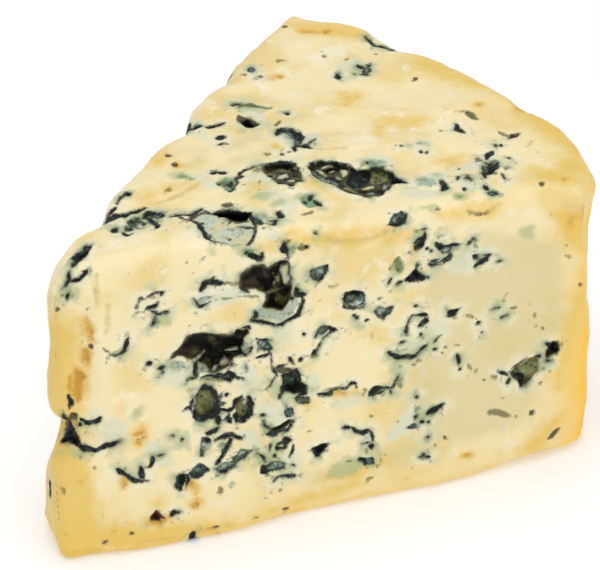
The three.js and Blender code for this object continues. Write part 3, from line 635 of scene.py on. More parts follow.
        (0.6, (103.2, 39.8), (102, 39), (101.2, 38.2)), (1.1, (101.4, 36), (102.2, 36.2)),
        (0.8, (107.3, 33.8), (107.7, 32.5), (107.9, 31)), (0.7, (108.1, 29.4),), (0.8, (118, 41.6),),
        (0.7, (118.8, 41.9),), (0.7, (120, 25.4), (121.4, 27.4), (123.4, 28.8)),
        (0.8, (126.6, 29), (128, 28.6)), (0.8, (117.6, 26.6), (119.6, 25.6)),
        (0.7, (119.9, 22.6), (120.3, 24.6)), (0, (128.6, 32.2), (132.3, 32), (132.2, 28), (130.4, 29.8)),
        (1.6, (121, 25.6), (123.6, 24), (123.6, 21.6)), (0.8, (98.8, 17), (99.6, 16.6)),
        (0.9, (100.4, 16), (100.8, 16.8)), (1.3, (100.4, 19), (102.6, 19.4), (104.2, 20.3)),
        (0.7, (97.8, 20.6),), (0.7, (97.2, 18.6),), (0.7, (97.8, 23.5),), (0.7, (100.8, 11.9),),
        (0.7, (99.8, 7.8), (99.6, 6.8), (98.8, 6.4)), (0.6, (99.8, 6.8), (101.2, 6.2)),
    ],
}

# %% The top
TOP_MARKS = {
    "yellow": [
        # the strokes from (67, -34) to (97, -44) are painted shade on the rounded edge where the top turns
        # down to the front cut; the rest is ripened paste
        (4, (49.5, 4.8),), (2.4, (45.6, 1.9), (49.4, 1.9)), (4, (61, 15.1),), (2, (62.8, 10.4),),
        (3, (63.4, -27.2),), (3, (67, -34), (69.2, -37.7), (72, -40)), (3, (80.6, -15.6),),
        (4, (108, -27), (112, -29)), (3, (105.8, -9.3), (108, -7), (111.8, -6.6), (118.5, -11.7)),
        (2.4, (111, -10.2), (113.5, -10.2), (118.5, -11.7)), (2.6, (113.1, 9.9),), (2.4, (114.6, 7.4),),
        (6, (127, -48.3),), (5, (121, -45), (124, -52)), (3, (111.8, 7.6),), (5, (128, 44), (136, 28)),
        (4, (137, 10), (139, -8)), (4, (138, -24), (134, -44)), (3, (76, -42), (83, -44)),
        (2, (53.6, 3.4), (57, 4.4)), (1.6, (71.7, -7),), (2, (92, -43), (97, -44)),
    ],
    "bloom": [
        (5, (50, -12), (53, -18)), (4, (54, -12), (58, -19)), (4, (58, -25), (61, -24)),
        (3, (64.9, -22.1),), (4, (70, -12),), (4, (72, -15), (69, -20)),
        (5, (97.3, -30.6), (99.9, -31.4), (103.4, -31.7)), (4, (104, -36), (108, -41)),
        (4, (92, -32), (97, -36)), (3, (87.4, 2),), (4, (91, 1), (95, -1)), (4, (90, 14), (93, 22)),
        (3, (75, 17), (79, 23)), (3, (38, 0), (42, 0.4)), (3, (58.8, -29.6),),
        (4, (118, -34), (110, -34)), (4, (120, 18), (126, 20)), (3, (103, 30), (105, 35)),
        (3, (62, 6), (64, -2)), (3, (107, -19), (110, -20)), (4, (96, -15), (99, -21)),
        (3, (82, -3), (85, -7)), (3, (72, -3), (74, -9)),
    ],
    "cool": [
        (5, (75.3, 8.8), (82.4, 8.4), (98.5, 9.4)), (4, (82.8, 2),), (4, (68.8, 2.9),),
        (4, (72, 4), (84, 0)), (4, (74, -2), (70, -8)), (3, (64, 8), (72, 12)), (3, (90, 26), (98, 20)),
    ],
    "crease": [
        (0.8, (49.4, 1.6), (56, 0.4), (61.6, 1.6)), (0.6, (88.9, -1.6), (92.1, -5.2), (96.2, -8.3)),
    ],
    "green": [
        (3.4, (60.3, 7.2),), (2, (61.5, 6.4), (61, 4.2)), (2.8, (65.6, -1), (68.4, -1.6)),
        (3, (67.2, -11), (70, -12.6)), (4.5, (73.4, -17), (75, -18)), (3, (69.3, -16.4),),
        (3, (63.3, -20.4),), (3, (61.3, -18.6),), (5, (51.4, -24), (52, -28)), (2.4, (74.3, -23.9),),
        (3.5, (95.7, -18.3),), (2, (98, -30.8), (100, -31.6)), (2, (102.6, -31.4),),
        (3.4, (100.3, -39.8),), (3.6, (91, -38.6), (93.2, -40)), (2, (105.6, -44.4), (107.6, -44)),
        (2.4, (114.4, -31.9),), (3, (90.8, 22.4),), (2.4, (91.6, 19), (93.9, 16.4)), (2, (83.2, 12.4),),
        (3, (105.9, 35.4), (103.4, 32.1)), (2.6, (123, 14.6), (126, 17)), (2, (107, -18),),
        (2, (37, 1.4), (35.8, -0.4)), (3, (41.2, -2.8), (40, -4)), (2.4, (60.8, -31.4),), (3, (86, -27),),
        (2, (46.6, -20.6),), (2, (118, 17.6),),
    ],
    "teal": [
        (0, (73.5, -18.2), (76.2, -17.6), (75.6, -20), (75.4, -22.5), (73, -22.2), (72.6, -20)),
        (0, (64.8, -0.6), (67.2, -0.5), (69.6, -1.7), (66.8, -4.3), (65.9, -5.5), (64.9, -5.1)),
        (1.8, (60.2, 7), (61.4, 5.4)), (2, (91, 22), (93.4, 19.6), (96, 17)),
        (1.8, (61.2, -18.6), (62, -17.4)), (1.6, (99.6, -39.4), (101, -40)),
        (2.2, (51.6, -25), (51.6, -27.4)), (1.4, (97, 12.4),), (2.6, (92.6, -21.6), (94, -23.4)),
        (1.6, (96, -21), (95, -18.4)), (1.4, (86.6, -12.8), (87.4, -13.8)), (1.4, (46, -2), (47.4, -2.8)),
        (1.6, (106.6, -44), (107.6, -43.4)),
    ],
    "amber": [
        (1.2, (62.7, 10.4),), (0.9, (84.9, 2.4),), (0.8, (110.2, 5.7),),
        (1.2, (126.4, 41.4), (127.7, 40), (129.4, 37.4)), (2, (131.2, 36.5),), (1.8, (107.5, 26.9),),
        (0.9, (105.7, 27),), (1.6, (132.8, -13.7),), (1.4, (123, -50.3),),
        (1, (140.1, -19), (137.9, -23.4), (138.8, -25.7)),
    ],
    "dim": [
        (1.8, (77.4, -4.6), (79.6, -6.6)), (1.4, (76, -3.4), (75.8, -5)),
        (1.6, (79.8, -9.6), (80.2, -10.8)), (1.4, (55.8, -11.6), (56.4, -14.6)),
    ],
    "slate": [
        (2.3, (44.4, -1), (46, -2), (47.5, -2.8)), (2.6, (40, -1.6), (41.4, -2.4), (41, -3.6)),
        (2.6, (61.2, -18.4),), (1.2, (90.6, 22.2),), (1.2, (96.9, 12.3),), (1, (65.6, -2), (67, -2.6)),
        (1.7, (84.4, -9.8), (83.1, -12), (83.7, -15.6), (84.4, -19.2), (84.6, -20.8)),
        (1.4, (86.6, -13.2), (87.6, -13.4)), (1.2, (90.6, -25.6), (91.6, -26.4)),
        (2.6, (88.7, 6.2), (90.5, 7), (91.8, 5.4), (91.9, 3.5), (91.2, 1.8), (89.5, 0.4)),
        (0, (80.7, -38), (84.4, -35.9), (86.6, -35.9), (86.5, -37.9), (83.6, -39.8), (81.9, -39.5)),
        (2.4, (106.6, -44.2),), (3, (113.8, -36.4), (112, -37.6)), (1.8, (125.6, 15), (123.4, 14)),
        (2.2, (104.2, 33.2),), (2, (51, -27.4), (51.6, -29.4)),
    ],
    "mist": [
        (0.7, (83.5, -12.4), (83.9, -15), (84.5, -18.2)), (2, (95.4, -17), (97.4, -19.2)),
        (1.7, (87, -26.6),), (1.4, (91.4, -26.2), (90.8, -27.4)), (1.2, (51.6, -9.6), (53, -10.4)),
        (1.4, (62.6, -17), (63.6, -18.6)), (1.4, (41.6, -3.2),), (1.2, (82.6, -37.8), (84.8, -37)),
        (1.2, (89.8, 3), (90.2, 5)), (1.4, (114.2, -36.6), (113, -37.2)), (1.4, (97, -31), (101, -32)),
        (1.2, (66.4, -1.6), (68, -2)),
    ],
    "moss": [
        (0, (93.4, -19.6), (95.4, -21.2), (95.2, -24), (93.2, -25.6), (91.2, -25), (89.8, -23.6),
         (91, -22.2), (92.9, -20.4)), (1.3, (84.1, -21.2), (84.7, -24.4)), (1.6, (76, -5.4), (75.6, -7)),
        (1, (78.8, -5.6), (80, -6.8)), (2.2, (55.4, -20.1),), (1.2, (56.4, -17.4),),
        (1.2, (91.4, 9.6), (93, 10.2)), (1.6, (128, -16), (127.6, -18.6)),
        (1.4, (113.4, -33), (114.6, -32.4)), (1.2, (61.2, -32.6), (59.8, -31.6)),
        (1.4, (76.4, -2.6), (74.4, -2.2)), (1.4, (79.4, -12), (79, -10.4)), (1.2, (52.6, -27),),
        (1.4, (92, 21), (94.4, 18.4)),
    ],
    "olive": [
        (1.2, (91.5, 21.9), (93, 20.5), (94.7, 18), (96, 17)), (0.7, (75.2, 11.9), (77.5, 9.7)),
        (1, (80.8, 1.7), (82, 0.6)), (0.6, (83, 16.2),), (1, (91, 9.4), (93.2, 10.4)),
        (1.2, (61.1, 4), (62.2, 3.8)), (1.1, (72.5, -23.6), (71, -23.8), (69.3, -23.2)),
        (1.8, (61.1, -32.7),), (1.2, (54.6, 3.9), (55.6, 3.5)), (0.9, (117.2, -17.6), (118.7, -18.5)),
        (1.7, (128.3, -15), (127.4, -19.6)), (0.6, (125.6, -13.3), (127.9, -14.4)),
        (0.9, (127.1, -26.2), (127.4, -29.5)), (1.2, (111.6, 32.2), (113.1, 32.4), (113.8, 31.5)),
        (1.1, (123.6, 29.2),), (1.2, (122, 27.1),), (0.9, (110.9, 25.8),), (1.4, (101.5, 32.8),),
        (1.1, (124.7, 21.8), (126.1, 22.2)), (1.4, (114.4, -31.9),), (0.9, (113.1, -38.9),),
        (0.8, (107.8, -46.6),), (0.8, (43.2, -21.6),), (1.4, (92.8, -40.6), (94, -41)),
        (0.8, (69.8, -8.8),), (1, (71.7, -6.9),), (0.5, (53.6, 3.4), (56, 4.2)),
        (0.9, (93, -23.6), (92, -22)), (0.9, (75, -6.5),), (1.1, (55.7, -20.4), (56.1, -18.4)),
        (0.8, (104, -40.6),),
    ],
    "pale": [
        (0, (50.9, -8.9), (53.5, -8.6), (55.4, -10), (55.3, -12.4), (56.4, -14.2), (56.4, -16.6),
         (58.6, -17.4), (60.6, -17.2), (59.4, -19.8), (56.8, -22.2), (53.6, -24.2), (50.6, -21.8),
         (49, -18.8), (49.4, -14.8), (50.8, -12)),
        (1.1, (85.6, -12.2), (86.8, -11.6), (88.2, -12), (88.8, -13.4)), (1, (86.6, -14), (87.4, -14.4)),
        (0, (89.1, -14.3), (89.8, -15.9), (88.8, -17.2), (87.8, -18.2), (86.8, -17.5), (87.7, -15.5)),
        (1.2, (84.5, -11.6), (84.9, -14.4)), (1.2, (85.7, -15.3), (86.1, -18.2)),
        (0, (86.2, -23.5), (88, -24), (89.5, -24.8), (88.8, -26), (86.9, -25.4), (85.9, -24.4)),
        (0, (77.4, -6.9), (79.3, -7.7), (78.7, -9.4), (76.7, -9.1), (76.2, -7.8)),
        (1.6, (77, -10.4), (77.8, -11.4)), (1.2, (90.5, 22.4),), (0.9, (38, -3.8),), (1, (106.6, -44.2),),
        (1.4, (41.4, -3.4),), (1, (92.6, 0),), (1, (124, 15.4),),
    ],
    "brown": [
        (0, (56.2, -10), (58.5, -10.7), (60.6, -12.9), (62.1, -14.7), (59.9, -16.3), (57.9, -16.7),
         (56.6, -15.6), (56.3, -13.3), (55.5, -12.6)), (2.2, (61, -10), (60, -9)), (1, (21.4, -9.2),),
        (1, (18.6, -10.7),), (1.2, (62.7, 11.4),), (1.4, (64.2, 15.6),), (0.9, (67.1, -30.5),),
        (2.2, (128.6, -29.8),), (1.1, (117, -49.3), (118.4, -48.3)), (1.6, (125.6, 45.3),),
        (1, (129.1, 4), (131.1, 4.3)), (1, (128.6, -15),), (0.8, (132.5, 19.6),),
        # the dot at (52.1, 12.8) is painted shade where the top turns down over its left edge
        (0, (88.4, 19.4), (86.5, 17.8), (85.6, 14.6), (85.3, 12.7), (86.4, 11.7), (88.8, 12.6),
         (88.7, 16.8)), (1.2, (52.1, 12.8),), (1.4, (88.6, -20.6), (86.6, -22.6)), (1.6, (93.6, -27.2),),
    ],
    "rust": [
        (1.6, (128.6, -29.3), (128.9, -30.2)),
    ],
    "dark": [
        # the nose
        (0, (20.4, -6.3), (21, -5.4), (22.9, -3.5), (25.1, -2.4), (27.1, -1.6), (29.3, -2.3),
         (27.8, -2.9), (25.4, -4.8), (22.2, -5.8)), (2, (47.4, 9.2), (47, 8)),
        (0.7, (47.6, 9.4), (45.5, 8.2), (42.9, 6.6)), (1.2, (41.6, 5.7), (39.5, 4.8), (38.1, 4.4)),
        (1.4, (35.9, 3), (38.5, 3.5), (40.4, 3.2), (42, 2)), (1.2, (41, 2), (42.8, 1.8), (46.4, 1.3)),
        (1.4, (41.3, 1.3),), (1.4, (36, -0.6), (36.3, -1.9)), (1.4, (38.8, -2.1), (39, -3.1)),
        (0.8, (37.2, -3), (37.2, -4.6), (38.2, -4.6)),
        (1.4, (42, -0.8), (44.2, -1.9), (44.2, -3.4), (44.8, -4.6), (44.7, -5.7), (43.4, -6.6)),
        (0.9, (42.6, -3.3),), (0.8, (44, -0.7), (45.7, -0.9), (47.8, -2.2), (47.4, -3.4), (45.8, -3.4)),
        # the great cave
        (1.3, (48.5, -4.8), (50.5, -6.3), (51.8, -7.6), (53.2, -7.6), (54.8, -7.4)),
        (0.7, (54.6, -8.4), (55.6, -10), (56.6, -10)),
        (1.5, (56.2, -10.2), (58.4, -11), (60.4, -13), (62, -15)),
        (1, (62, -14.8), (61, -16.6), (59.4, -19.7)), (1.4, (57.2, -12), (58.6, -13.6)),
        (1.2, (58, -16), (59.8, -15.4)), (0.9, (55.6, -12.8), (56.4, -11.6)),
        (0.7, (59.3, -19.7), (58.2, -21), (56.7, -22.3), (54.6, -24), (53, -24.3)),
        (1, (49.5, -6.8), (49.7, -8.4), (50.9, -9.9), (50.5, -11.8), (49.3, -14.3), (48.5, -16.4),
         (48.5, -19.2)), (0.5, (59, -19.8), (57, -18.7), (55.5, -18)), (0.5, (51.3, -12.2),),
        (0.9, (49.2, -16.6),), (0.5, (51.6, -20.2),), (0.5, (55.4, -12.4), (54.4, -13)),
        (0.5, (56.3, -15), (55, -15.8)), (0.5, (60.2, -21.2),), (1.2, (50.9, -26.4),),
        (1.1, (50.4, -27.9), (50.6, -29.6), (51.8, -30), (52.9, -29.4)),
        # between the caves
        (1.8, (66.4, -20.3),), (0.8, (63.2, -19.4), (64.4, -20.8), (63, -21.6), (62.2, -20.4)),
        (1.8, (59.4, -29.2), (57.7, -31.5)), (1, (60.2, -28.3), (59, -29.8)), (0.8, (62.2, -33),),
        (1.6, (66.5, 3.4), (67.8, 3.6)), (1.2, (67.8, 3), (69.2, 1.3)), (1.2, (65, -1.2),),
        (1, (65.2, -5.2), (66.6, -4.6)), (0.8, (69.5, -1.6), (68.6, -3), (67, -4.5)),
        (1.1, (69.6, -1.5), (71.4, -1.7)), (0.7, (69.4, -1.2), (73, -0.2), (75.8, -0.6), (78.1, -1.5)),
        (1, (76.6, -18.6), (75.4, -19.8)), (0.9, (76.2, -20.2), (75.6, -23)), (0.9, (74, -19.6),),
        # the notch at the left edge, and right of it
        (1.6, (74.3, 21.7), (77.1, 23.5)), (2, (76.4, 21.4), (77.6, 20.2)),
        (1.2, (79, 19.3), (81.3, 18.5), (83.3, 18.7)), (1.6, (86.2, 12.6), (87.6, 13.4), (88.4, 12.8)),
        (2, (78.1, 14),), (0.8, (76.2, 11.4),), (1.4, (86.6, 15.4), (87.6, 17)),
        (0.9, (89.4, 23), (90.6, 23.6), (92, 22.6)), (0.9, (96.2, 12.6), (97.4, 11.8)),
        (1.3, (92.1, 6.2), (92.4, 3.4), (91.2, 1.2)), (0.7, (88.7, 6.6), (90.5, 7.8), (92.1, 6.2)),
        (0.8, (87.9, -0.3), (86.8, -1.8)), (0.8, (85.9, -1),), (0.8, (84, -0.7),),
        (1.4, (88.6, -0.4), (89.7, -1.4), (90.6, -2.9)), (0.5, (90.9, -1.6), (93.5, -1.1)),
        # the arch
        (0.9, (77.2, -2), (78.8, -2.6)), (1.9, (78.6, -2.8), (80.4, -4), (81.6, -5.6)),
        (1, (81.6, -5.6), (81.8, -7.1), (81.6, -8.8)), (0.7, (81.4, -8.6), (80.8, -10.4)),
        (1.5, (75.2, -9.8), (75.3, -10.4)), (1.3, (76, -12.2),), (1.5, (78.9, -11.7),), (1, (79, -12.8),),
        (0.8, (75.6, -6.6), (75.8, -5.6)), (0.6, (77.6, -6.2), (78.6, -7)),
        (0.6, (76.2, -9.6), (78, -10)), (0.7, (79.6, -9), (80, -10.2)),
        # the long cave
        (1, (85.1, -8.8), (87.5, -9.2), (88.6, -10.8)), (1.2, (88.6, -10.8), (90, -12.8), (91.4, -14.6)),
        (0, (91.4, -14.8), (91, -17), (90.8, -18.4), (92.2, -18.8), (93.2, -19.4), (92.6, -20.4),
         (90.8, -22.4), (88.9, -22.8), (86.8, -23.2), (85.5, -22.6), (86, -20.8), (87, -19),
         (88.6, -18), (90.2, -16)), (0.6, (82.5, -12.6), (82.8, -16.4), (83.2, -19.2)),
        (0.8, (83.2, -19.2), (83.7, -23.4), (84.7, -26.2), (85.2, -27.8)),
        (0.8, (94.2, -18.8), (96.6, -20.8)),
        (0, (96.2, -22.4), (95.6, -25.6), (95.2, -29.4), (92.8, -27.6), (93.4, -25.8), (94.8, -24.6)),
        (0.6, (85.4, -16.6), (86.4, -15.2)), (0.8, (91.4, -23.8),), (0.7, (93, -22.2),),
        (0.6, (94.4, -21),), (0, (87.8, -26.6), (89.3, -26.2), (90, -27.6), (88, -29)),
        (0.7, (86, -27.4), (88, -28.8)), (0.7, (90, -27.6), (92.2, -27.4)), (0.8, (95.2, -16.7),),
        (0.6, (86.9, -12.9), (88, -13.3)), (0.6, (94.8, -23),), (0.6, (92.4, -24.4),),
        # towards the rind
        (1.3, (101.7, -33), (101.5, -34.1), (100.6, -35.4), (99.8, -35.9)), (1, (103.6, -38.6),),
        (1, (105.5, -34.9),), (1, (106.2, -36), (106.8, -37.4)), (0.8, (108.8, -32),),
        (1.1, (80.9, -38), (82, -39.3), (83.6, -39.6), (86.4, -37.9), (86.4, -36.2)),
        (0.9, (105.4, -16.9),), (0.8, (109.6, -18.6),), (0.9, (107.3, -21.1),), (0.6, (108.3, -22),),
        (1.4, (122, -17.9), (120.8, -19.6), (121.2, -21.4)), (0.9, (127.2, -30),), (1, (121.9, -30.4),),
        (0.9, (122.8, -31.5),), (1.8, (119.2, -32.1), (115.7, -33.6)), (0.8, (113.5, -33.3),),
        (2.2, (116.5, -36.3), (114.8, -36.8), (111.6, -38)), (0.8, (116.7, -39),),
        (0.7, (112, -36.3), (109.2, -39)), (0.5, (113.9, -40.6), (112, -42.7)), (0.8, (120, -36.4),),
        (0.8, (107.1, -35.5), (106.5, -37.5)), (1.1, (107.5, -41), (106.9, -42.6)), (0.9, (103.5, 29.5),),
        (1.3, (118.5, 18.6), (117.3, 16.5)), (0.9, (121.5, 15.3),), (1.2, (122.3, 14.2), (123.2, 12.9)),
        (1.2, (124.4, 17.4), (124.3, 15.6)), (1.2, (126.7, 16),),
        (0.9, (136.5, 28), (135.5, 23.2), (136, 21), (137.2, 18.5)),
    ],
}

# %% Open caves: depth, and the points of the outline
FRONT_CAVES = [
    (3.8, (56.5, 62.6), (56.6, 64.3), (57.3, 66), (59.6, 67.1), (61.4, 67.2), (62.8, 66.4),
     (64.7, 67.4), (67.6, 67.1), (68, 64.3), (68.4, 62), (67.6, 60), (62.4, 60), (60, 61.2), (58, 61.8)),
    (3.8, (62.3, 60), (62, 58), (61.2, 56.1), (64.2, 55.1), (65.9, 54.1), (67.1, 55.4), (68.4, 57.4),
     (68.4, 61)),
    (4.2, (40.2, 46.6), (42.8, 49.4), (45, 52), (46.5, 52.3), (50.2, 51.7), (52.9, 50.5), (55.1, 50.7),
     (58.3, 51.4), (58.9, 50.2), (57.6, 48.6), (58.6, 46), (56.8, 44.8), (54.6, 44.2), (54.2, 41.8),
     (51, 41), (48.4, 41.4), (46.6, 42.8), (46.2, 44.6), (45.2, 46.3), (42.3, 47.2)),
    (2.4, (66, 37), (69.2, 38), (69.6, 34.4), (71, 33), (70.6, 30.6), (69, 31.6), (66.2, 33)),
    (2.2, (63, 22.8), (65.4, 23.7), (68, 25), (68.4, 23.4), (66, 21.6), (62.8, 21.8)),
    (1.3, (120.4, 25.5), (121.6, 27.6), (124, 28.7), (127, 28.6), (127.6, 25), (126.2, 23.6),
     (124.6, 21.2), (122.6, 22.6)),
    (2.4, (129.4, 27.4), (129.2, 30.6), (131.6, 32), (132.3, 29)),
    (1.8, (80.4, 53.4), (82.4, 56), (84.4, 54.8), (82, 52.6)),
    (1.4, (94, 56.4), (96.6, 59), (99, 56.8)),
    (1.6, (73, 14.8), (76.6, 15.8), (75, 12.8)),
    (1.4, (41.4, 14.6), (42.4, 11.4), (43.8, 14.8)),
    (1.8, (44.6, 14.6), (46.8, 16.6), (49, 15), (46.6, 13.2)),
    (1.6, (55.2, 32.6), (58.4, 32.6), (58.4, 28.4), (57.2, 27), (55.2, 27.6)),
    (1.8, (46.2, 36.2), (48.4, 37.4), (50.6, 36), (50.9, 33), (50, 30.4), (47.8, 29.4), (45.8, 31.2),
     (45.6, 34.4)),
    (2.4, (16.2, 37), (19.6, 31), (20.4, 28.4), (16, 30)),
    (2, (35, 4), (36.7, 6.2), (38.4, 3.4)),
    (1.2, (87.8, 49.6), (91, 49.6), (89, 47.6)),
    (1.2, (104.6, 46.6), (107, 46), (105, 44.8)),
]
TOP_CAVES = [
    (4, (56, -9.8), (58.6, -10.6), (60.8, -12.8), (62.2, -14.8), (60.2, -16.6), (57.6, -16.8),
     (56.2, -15), (55.4, -12.4)),
    (1, (50.4, -8), (53.6, -8.2), (56, -10), (60, -16), (59.6, -19.6), (57.4, -21.8), (54, -24.2),
     (51, -22), (48.9, -19), (49.4, -15), (50.8, -12)),
    (1.6, (84.4, -8.8), (87.4, -9.2), (89.8, -12.6), (91.2, -14.8), (91, -17.8), (94.2, -19),
     (96.3, -20.8), (95.8, -24), (95.1, -29), (92.6, -27.6), (90.3, -27), (88, -28.6), (85, -27.4),
     (83.8, -23.4), (83, -18), (82.6, -12.6), (83.4, -10)),
    (1.5, (77, -2.2), (80, -3.6), (81.7, -5.6), (81.5, -9), (79.6, -12.6), (76.2, -12.8), (74.8, -10.2),
     (75.2, -4.6)),
    (2.2, (86.2, 17), (85.9, 13), (87.6, 12.2), (88.6, 16.6)),
    (2, (82, -38.2), (84.6, -36.4), (86, -37.6), (83.4, -39.2)),
    (1.6, (66, -0.8), (68.8, -1.8), (66.4, -4.4)),
    (1.6, (22, -4.6), (26, -2.6), (28.6, -2.2), (25, -4)),
    (1.6, (75.4, 21.8), (77.6, 21.6), (77, 19.8)),
    (1.6, (121, -19), (121.8, -20.8), (120.6, -20.4)),
    (1.6, (114.2, -34.2), (117, -35.4), (113, -37.4)),
]

for side, marks in (("front", FRONT_MARKS), ("top", TOP_MARKS)):
    print(side, {kind: len(strokes) for kind, strokes in marks.items()})

# %% [markdown]
# ## Carrying the map onto the wedge
#
# The cuts aren't quite flat, so a mark is carried onto them along one slanting line, the way a slide
# projector throws a picture: each point of the skin is moved along the slant until it meets the flat cut,
# and the mark is looked up there. A mark fades where the skin turns away behind an edge.
#
# The left cut, at the back, carries the front's mould turned end for end and bent by noise, so that no two
# places match. The tones of the front's paste, which are *yellow*, *cool* and *crease*, stay on the front.

# %% The three cut sides
SLANT = np.array([-0.555, -0.616, 0.559])  # from the wedge, up over the front corner of its nose
FAR = 6.0  # a distance that stands for none, millimetres
DEEP = 3.0  # no mark counts as deeper inside than this, so that it fades out behind an edge
SIDEWAYS = np.array([0, 1.0, 0])


def slide_onto(points, origin, right, up, out):
    """Where each point's slanting line meets a flat cut, as (right, up), and how far outside the cut it lies.

    The point is moved by -(its distance outside / (slant . out)) x slant."""
    outside = (points - origin) @ out
    moved = points - (outside / (SLANT @ out))[:, None] * SLANT
    return np.stack([(moved - origin) @ right, (moved - origin) @ up], 1), outside


def on_front_cut(points):
    """On the front cut: the distance from the wheel's axis, and the height."""
    return slide_onto(points, 0 * UP, ALONG_FRONT, UP, FRONT_OUT)


def on_top_face(points):
    """On the top: x and y."""
    return slide_onto(points, HEIGHT * UP, NOSE_IN, SIDEWAYS, UP)


TURNED_FROM = np.array([150.0, 70.0])  # the place of the front's map that falls on the left cut's zero point
BEND = 5  # how far noise bends the map there, in millimetres


def on_left_cut(points):
    """Straight onto the leaning left cut, then turned end for end and bent by up to BEND millimetres."""
    outside = points @ LEFT_OUT + LEFT_LEAN * points[:, 2] / HEIGHT
    flat = np.stack([points @ ALONG_LEFT, points[:, 2]], 1)
    bend = np.stack([noise(points, 24, 5), noise(points, 24, 6)], 1) * BEND
    return TURNED_FROM - flat + bend, outside


FRONT_TONES = ("yellow", "cool", "crease")
LEFT_MARKS = {kind: strokes for kind, strokes in FRONT_MARKS.items() if kind not in FRONT_TONES}
SIDES = [  # how a point is looked up, how far a mark runs on behind the edge, the marks and the caves
    (on_front_cut, 16, FRONT_MARKS, FRONT_CAVES),
    (on_top_face, 7, TOP_MARKS, TOP_CAVES),
    (on_left_cut, 0.2, LEFT_MARKS, FRONT_CAVES),
]

# %% Distances to a mark
def stroke_distance(flat, width, line, swell):
    """The distance to a brush stroke's edge, negative inside it.

    The half width is width / 2 x swell x (0.5 + 0.5 sqrt(sin(pi s))), where s runs from 0 to 1 along the
    line, so the stroke thins towards both ends."""
    line = np.array(line, float)
    if len(line) == 1:
        return np.linalg.norm(flat - line[0], axis=1) - width / 2 * swell
    runs = np.diff(line, axis=0)
    lengths = np.linalg.norm(runs, axis=1)
    passed = np.concatenate([[0], np.cumsum(lengths)]) / lengths.sum()
    best = np.full(len(flat), FAR)
    for start, run, low, high in zip(line, runs, passed, passed[1:]):
        share = np.clip((flat - start) @ run / (run @ run), 0, 1)
        along = blend(low, high, share)
        half = width / 2 * swell * (0.5 + 0.5 * np.sqrt(np.sin(np.pi * np.clip(along, 0, 1)) + 1e-9))
        best = np.minimum(best, np.linalg.norm(flat - start - share[:, None] * run, axis=1) - half)
    return best


def outline_distance(flat, outline, swell):
    """The distance to a closed outline, negative inside it.

    It is the distance to the nearest side, and an even-odd count of crossings tells the inside."""
    corners = np.array(outline, float)
    best, inside = np.full(len(flat), FAR), np.zeros(len(flat), bool)
    for start, end in zip(corners, np.roll(corners, -1, axis=0)):
        best = np.minimum(best, distance_to_line(flat, start, end))
        crosses = (start[1] > flat[:, 1]) != (end[1] > flat[:, 1])
        height = end[1] - start[1] if end[1] != start[1] else 1e-9
        reach = start[0] + (flat[:, 1] - start[1]) * (end[0] - start[0]) / height
        inside ^= crosses & (flat[:, 0] < reach)
    return np.where(inside, -best, best) + 0.4 * (1 - swell)


def mark_distance(flat, mark, swell):
    """The distance to one mark of any form. Only places near its frame are worked out; the rest are FAR."""
    width, *line = mark
    corners = np.array(line, float)
    near = ((flat > corners.min(0) - FAR) & (flat < corners.max(0) + FAR)).all(1)
    found = np.full(len(flat), FAR)
    if near.any():
        if width:
            found[near] = stroke_distance(flat[near], width, line, swell[near])
        else:
            found[near] = outline_distance(flat[near], line, swell[near])
    return found


# %% Looking up every kind
KINDS = tuple(FRONT_MARKS)
WALL_RUN = 1.1
SWELLING = 0.38  # the share by which the widths swell and shrink
WIDE_PUSH, FINE_PUSH = (2.6, 31, 0.34), (1.0, 41, 0.16)  # size and seed of the noise, and how far it pushes


def all_marks(points):
    """For each kind of mark, and for the caves, the distance to the nearest one; and how far the caves sink.

    A cave's wall is a smooth step, from nothing at its edge to the full depth WALL_RUN inside it.

    The places are pushed about by noise before the lookup, and the widths swell and shrink by noise, so
    that a straight stroke comes out as ragged as a grown one."""
    ragged = points.copy()
    for size, seed, reach in (WIDE_PUSH, FINE_PUSH):
        ragged += reach * np.stack([noise(points, size, seed + k) for k in range(3)], 1)
    swell = 1 + SWELLING * noise(points, 1.8, 7)
    marks = {key: np.full(len(points), FAR) for key in (*KINDS, "cave")}
    marks["sunk"] = np.zeros(len(points))
    for look_up, run_on, kinds, caves in SIDES:
        flat, outside = look_up(ragged)
        near = np.flatnonzero(outside > -run_on - FAR)
        flat, behind, swollen = flat[near], np.maximum(-outside[near] - run_on, 0), swell[near]
        for kind, strokes in kinds.items():
            for mark in strokes:
                distance = np.maximum(mark_distance(flat, mark, swollen), -DEEP) + behind
                marks[kind][near] = np.minimum(marks[kind][near], distance)
        for depth, *outline in caves:
            distance = mark_distance(flat, (0, *outline), swollen) + behind
            marks["cave"][near] = np.minimum(marks["cave"][near], distance)
            marks["sunk"][near] = np.maximum(marks["sunk"][near], depth * ease(-distance, -0.1, WALL_RUN))
    return marks


# %% [markdown]
# ## Sinking the pockets
#
# A mould pocket is a gap between curds. A crack is a shallow dent with a soft edge. A cave has a steep
# wall, a lumpy floor, pale curds that stand in it, and a slightly raised lip where the knife dragged the
# paste.
#
# Dents, lips and the crumb of the cut are moves along the bare wedge's normal. A cave runs down along the
# same slant by which the marks are looked up, so its floor keeps the marks that are drawn on it. Only
# points are moved, so the skin stays closed.

# %% Depth of the relief
# How deep the marks of each kind lie, in millimetres.
DENTS = {
    "dark": 0.5, "slate": 0.45, "teal": 0.3, "mist": 0.2, "brown": 0.35, "olive": 0.2, "amber": 0.4,
    "rust": 0.8, "crease": 0.35,
}
LIP, BLOOM_SWELL = 0.25, 0.3  # how far a cave's lip and whitened paste stand out, in millimetres


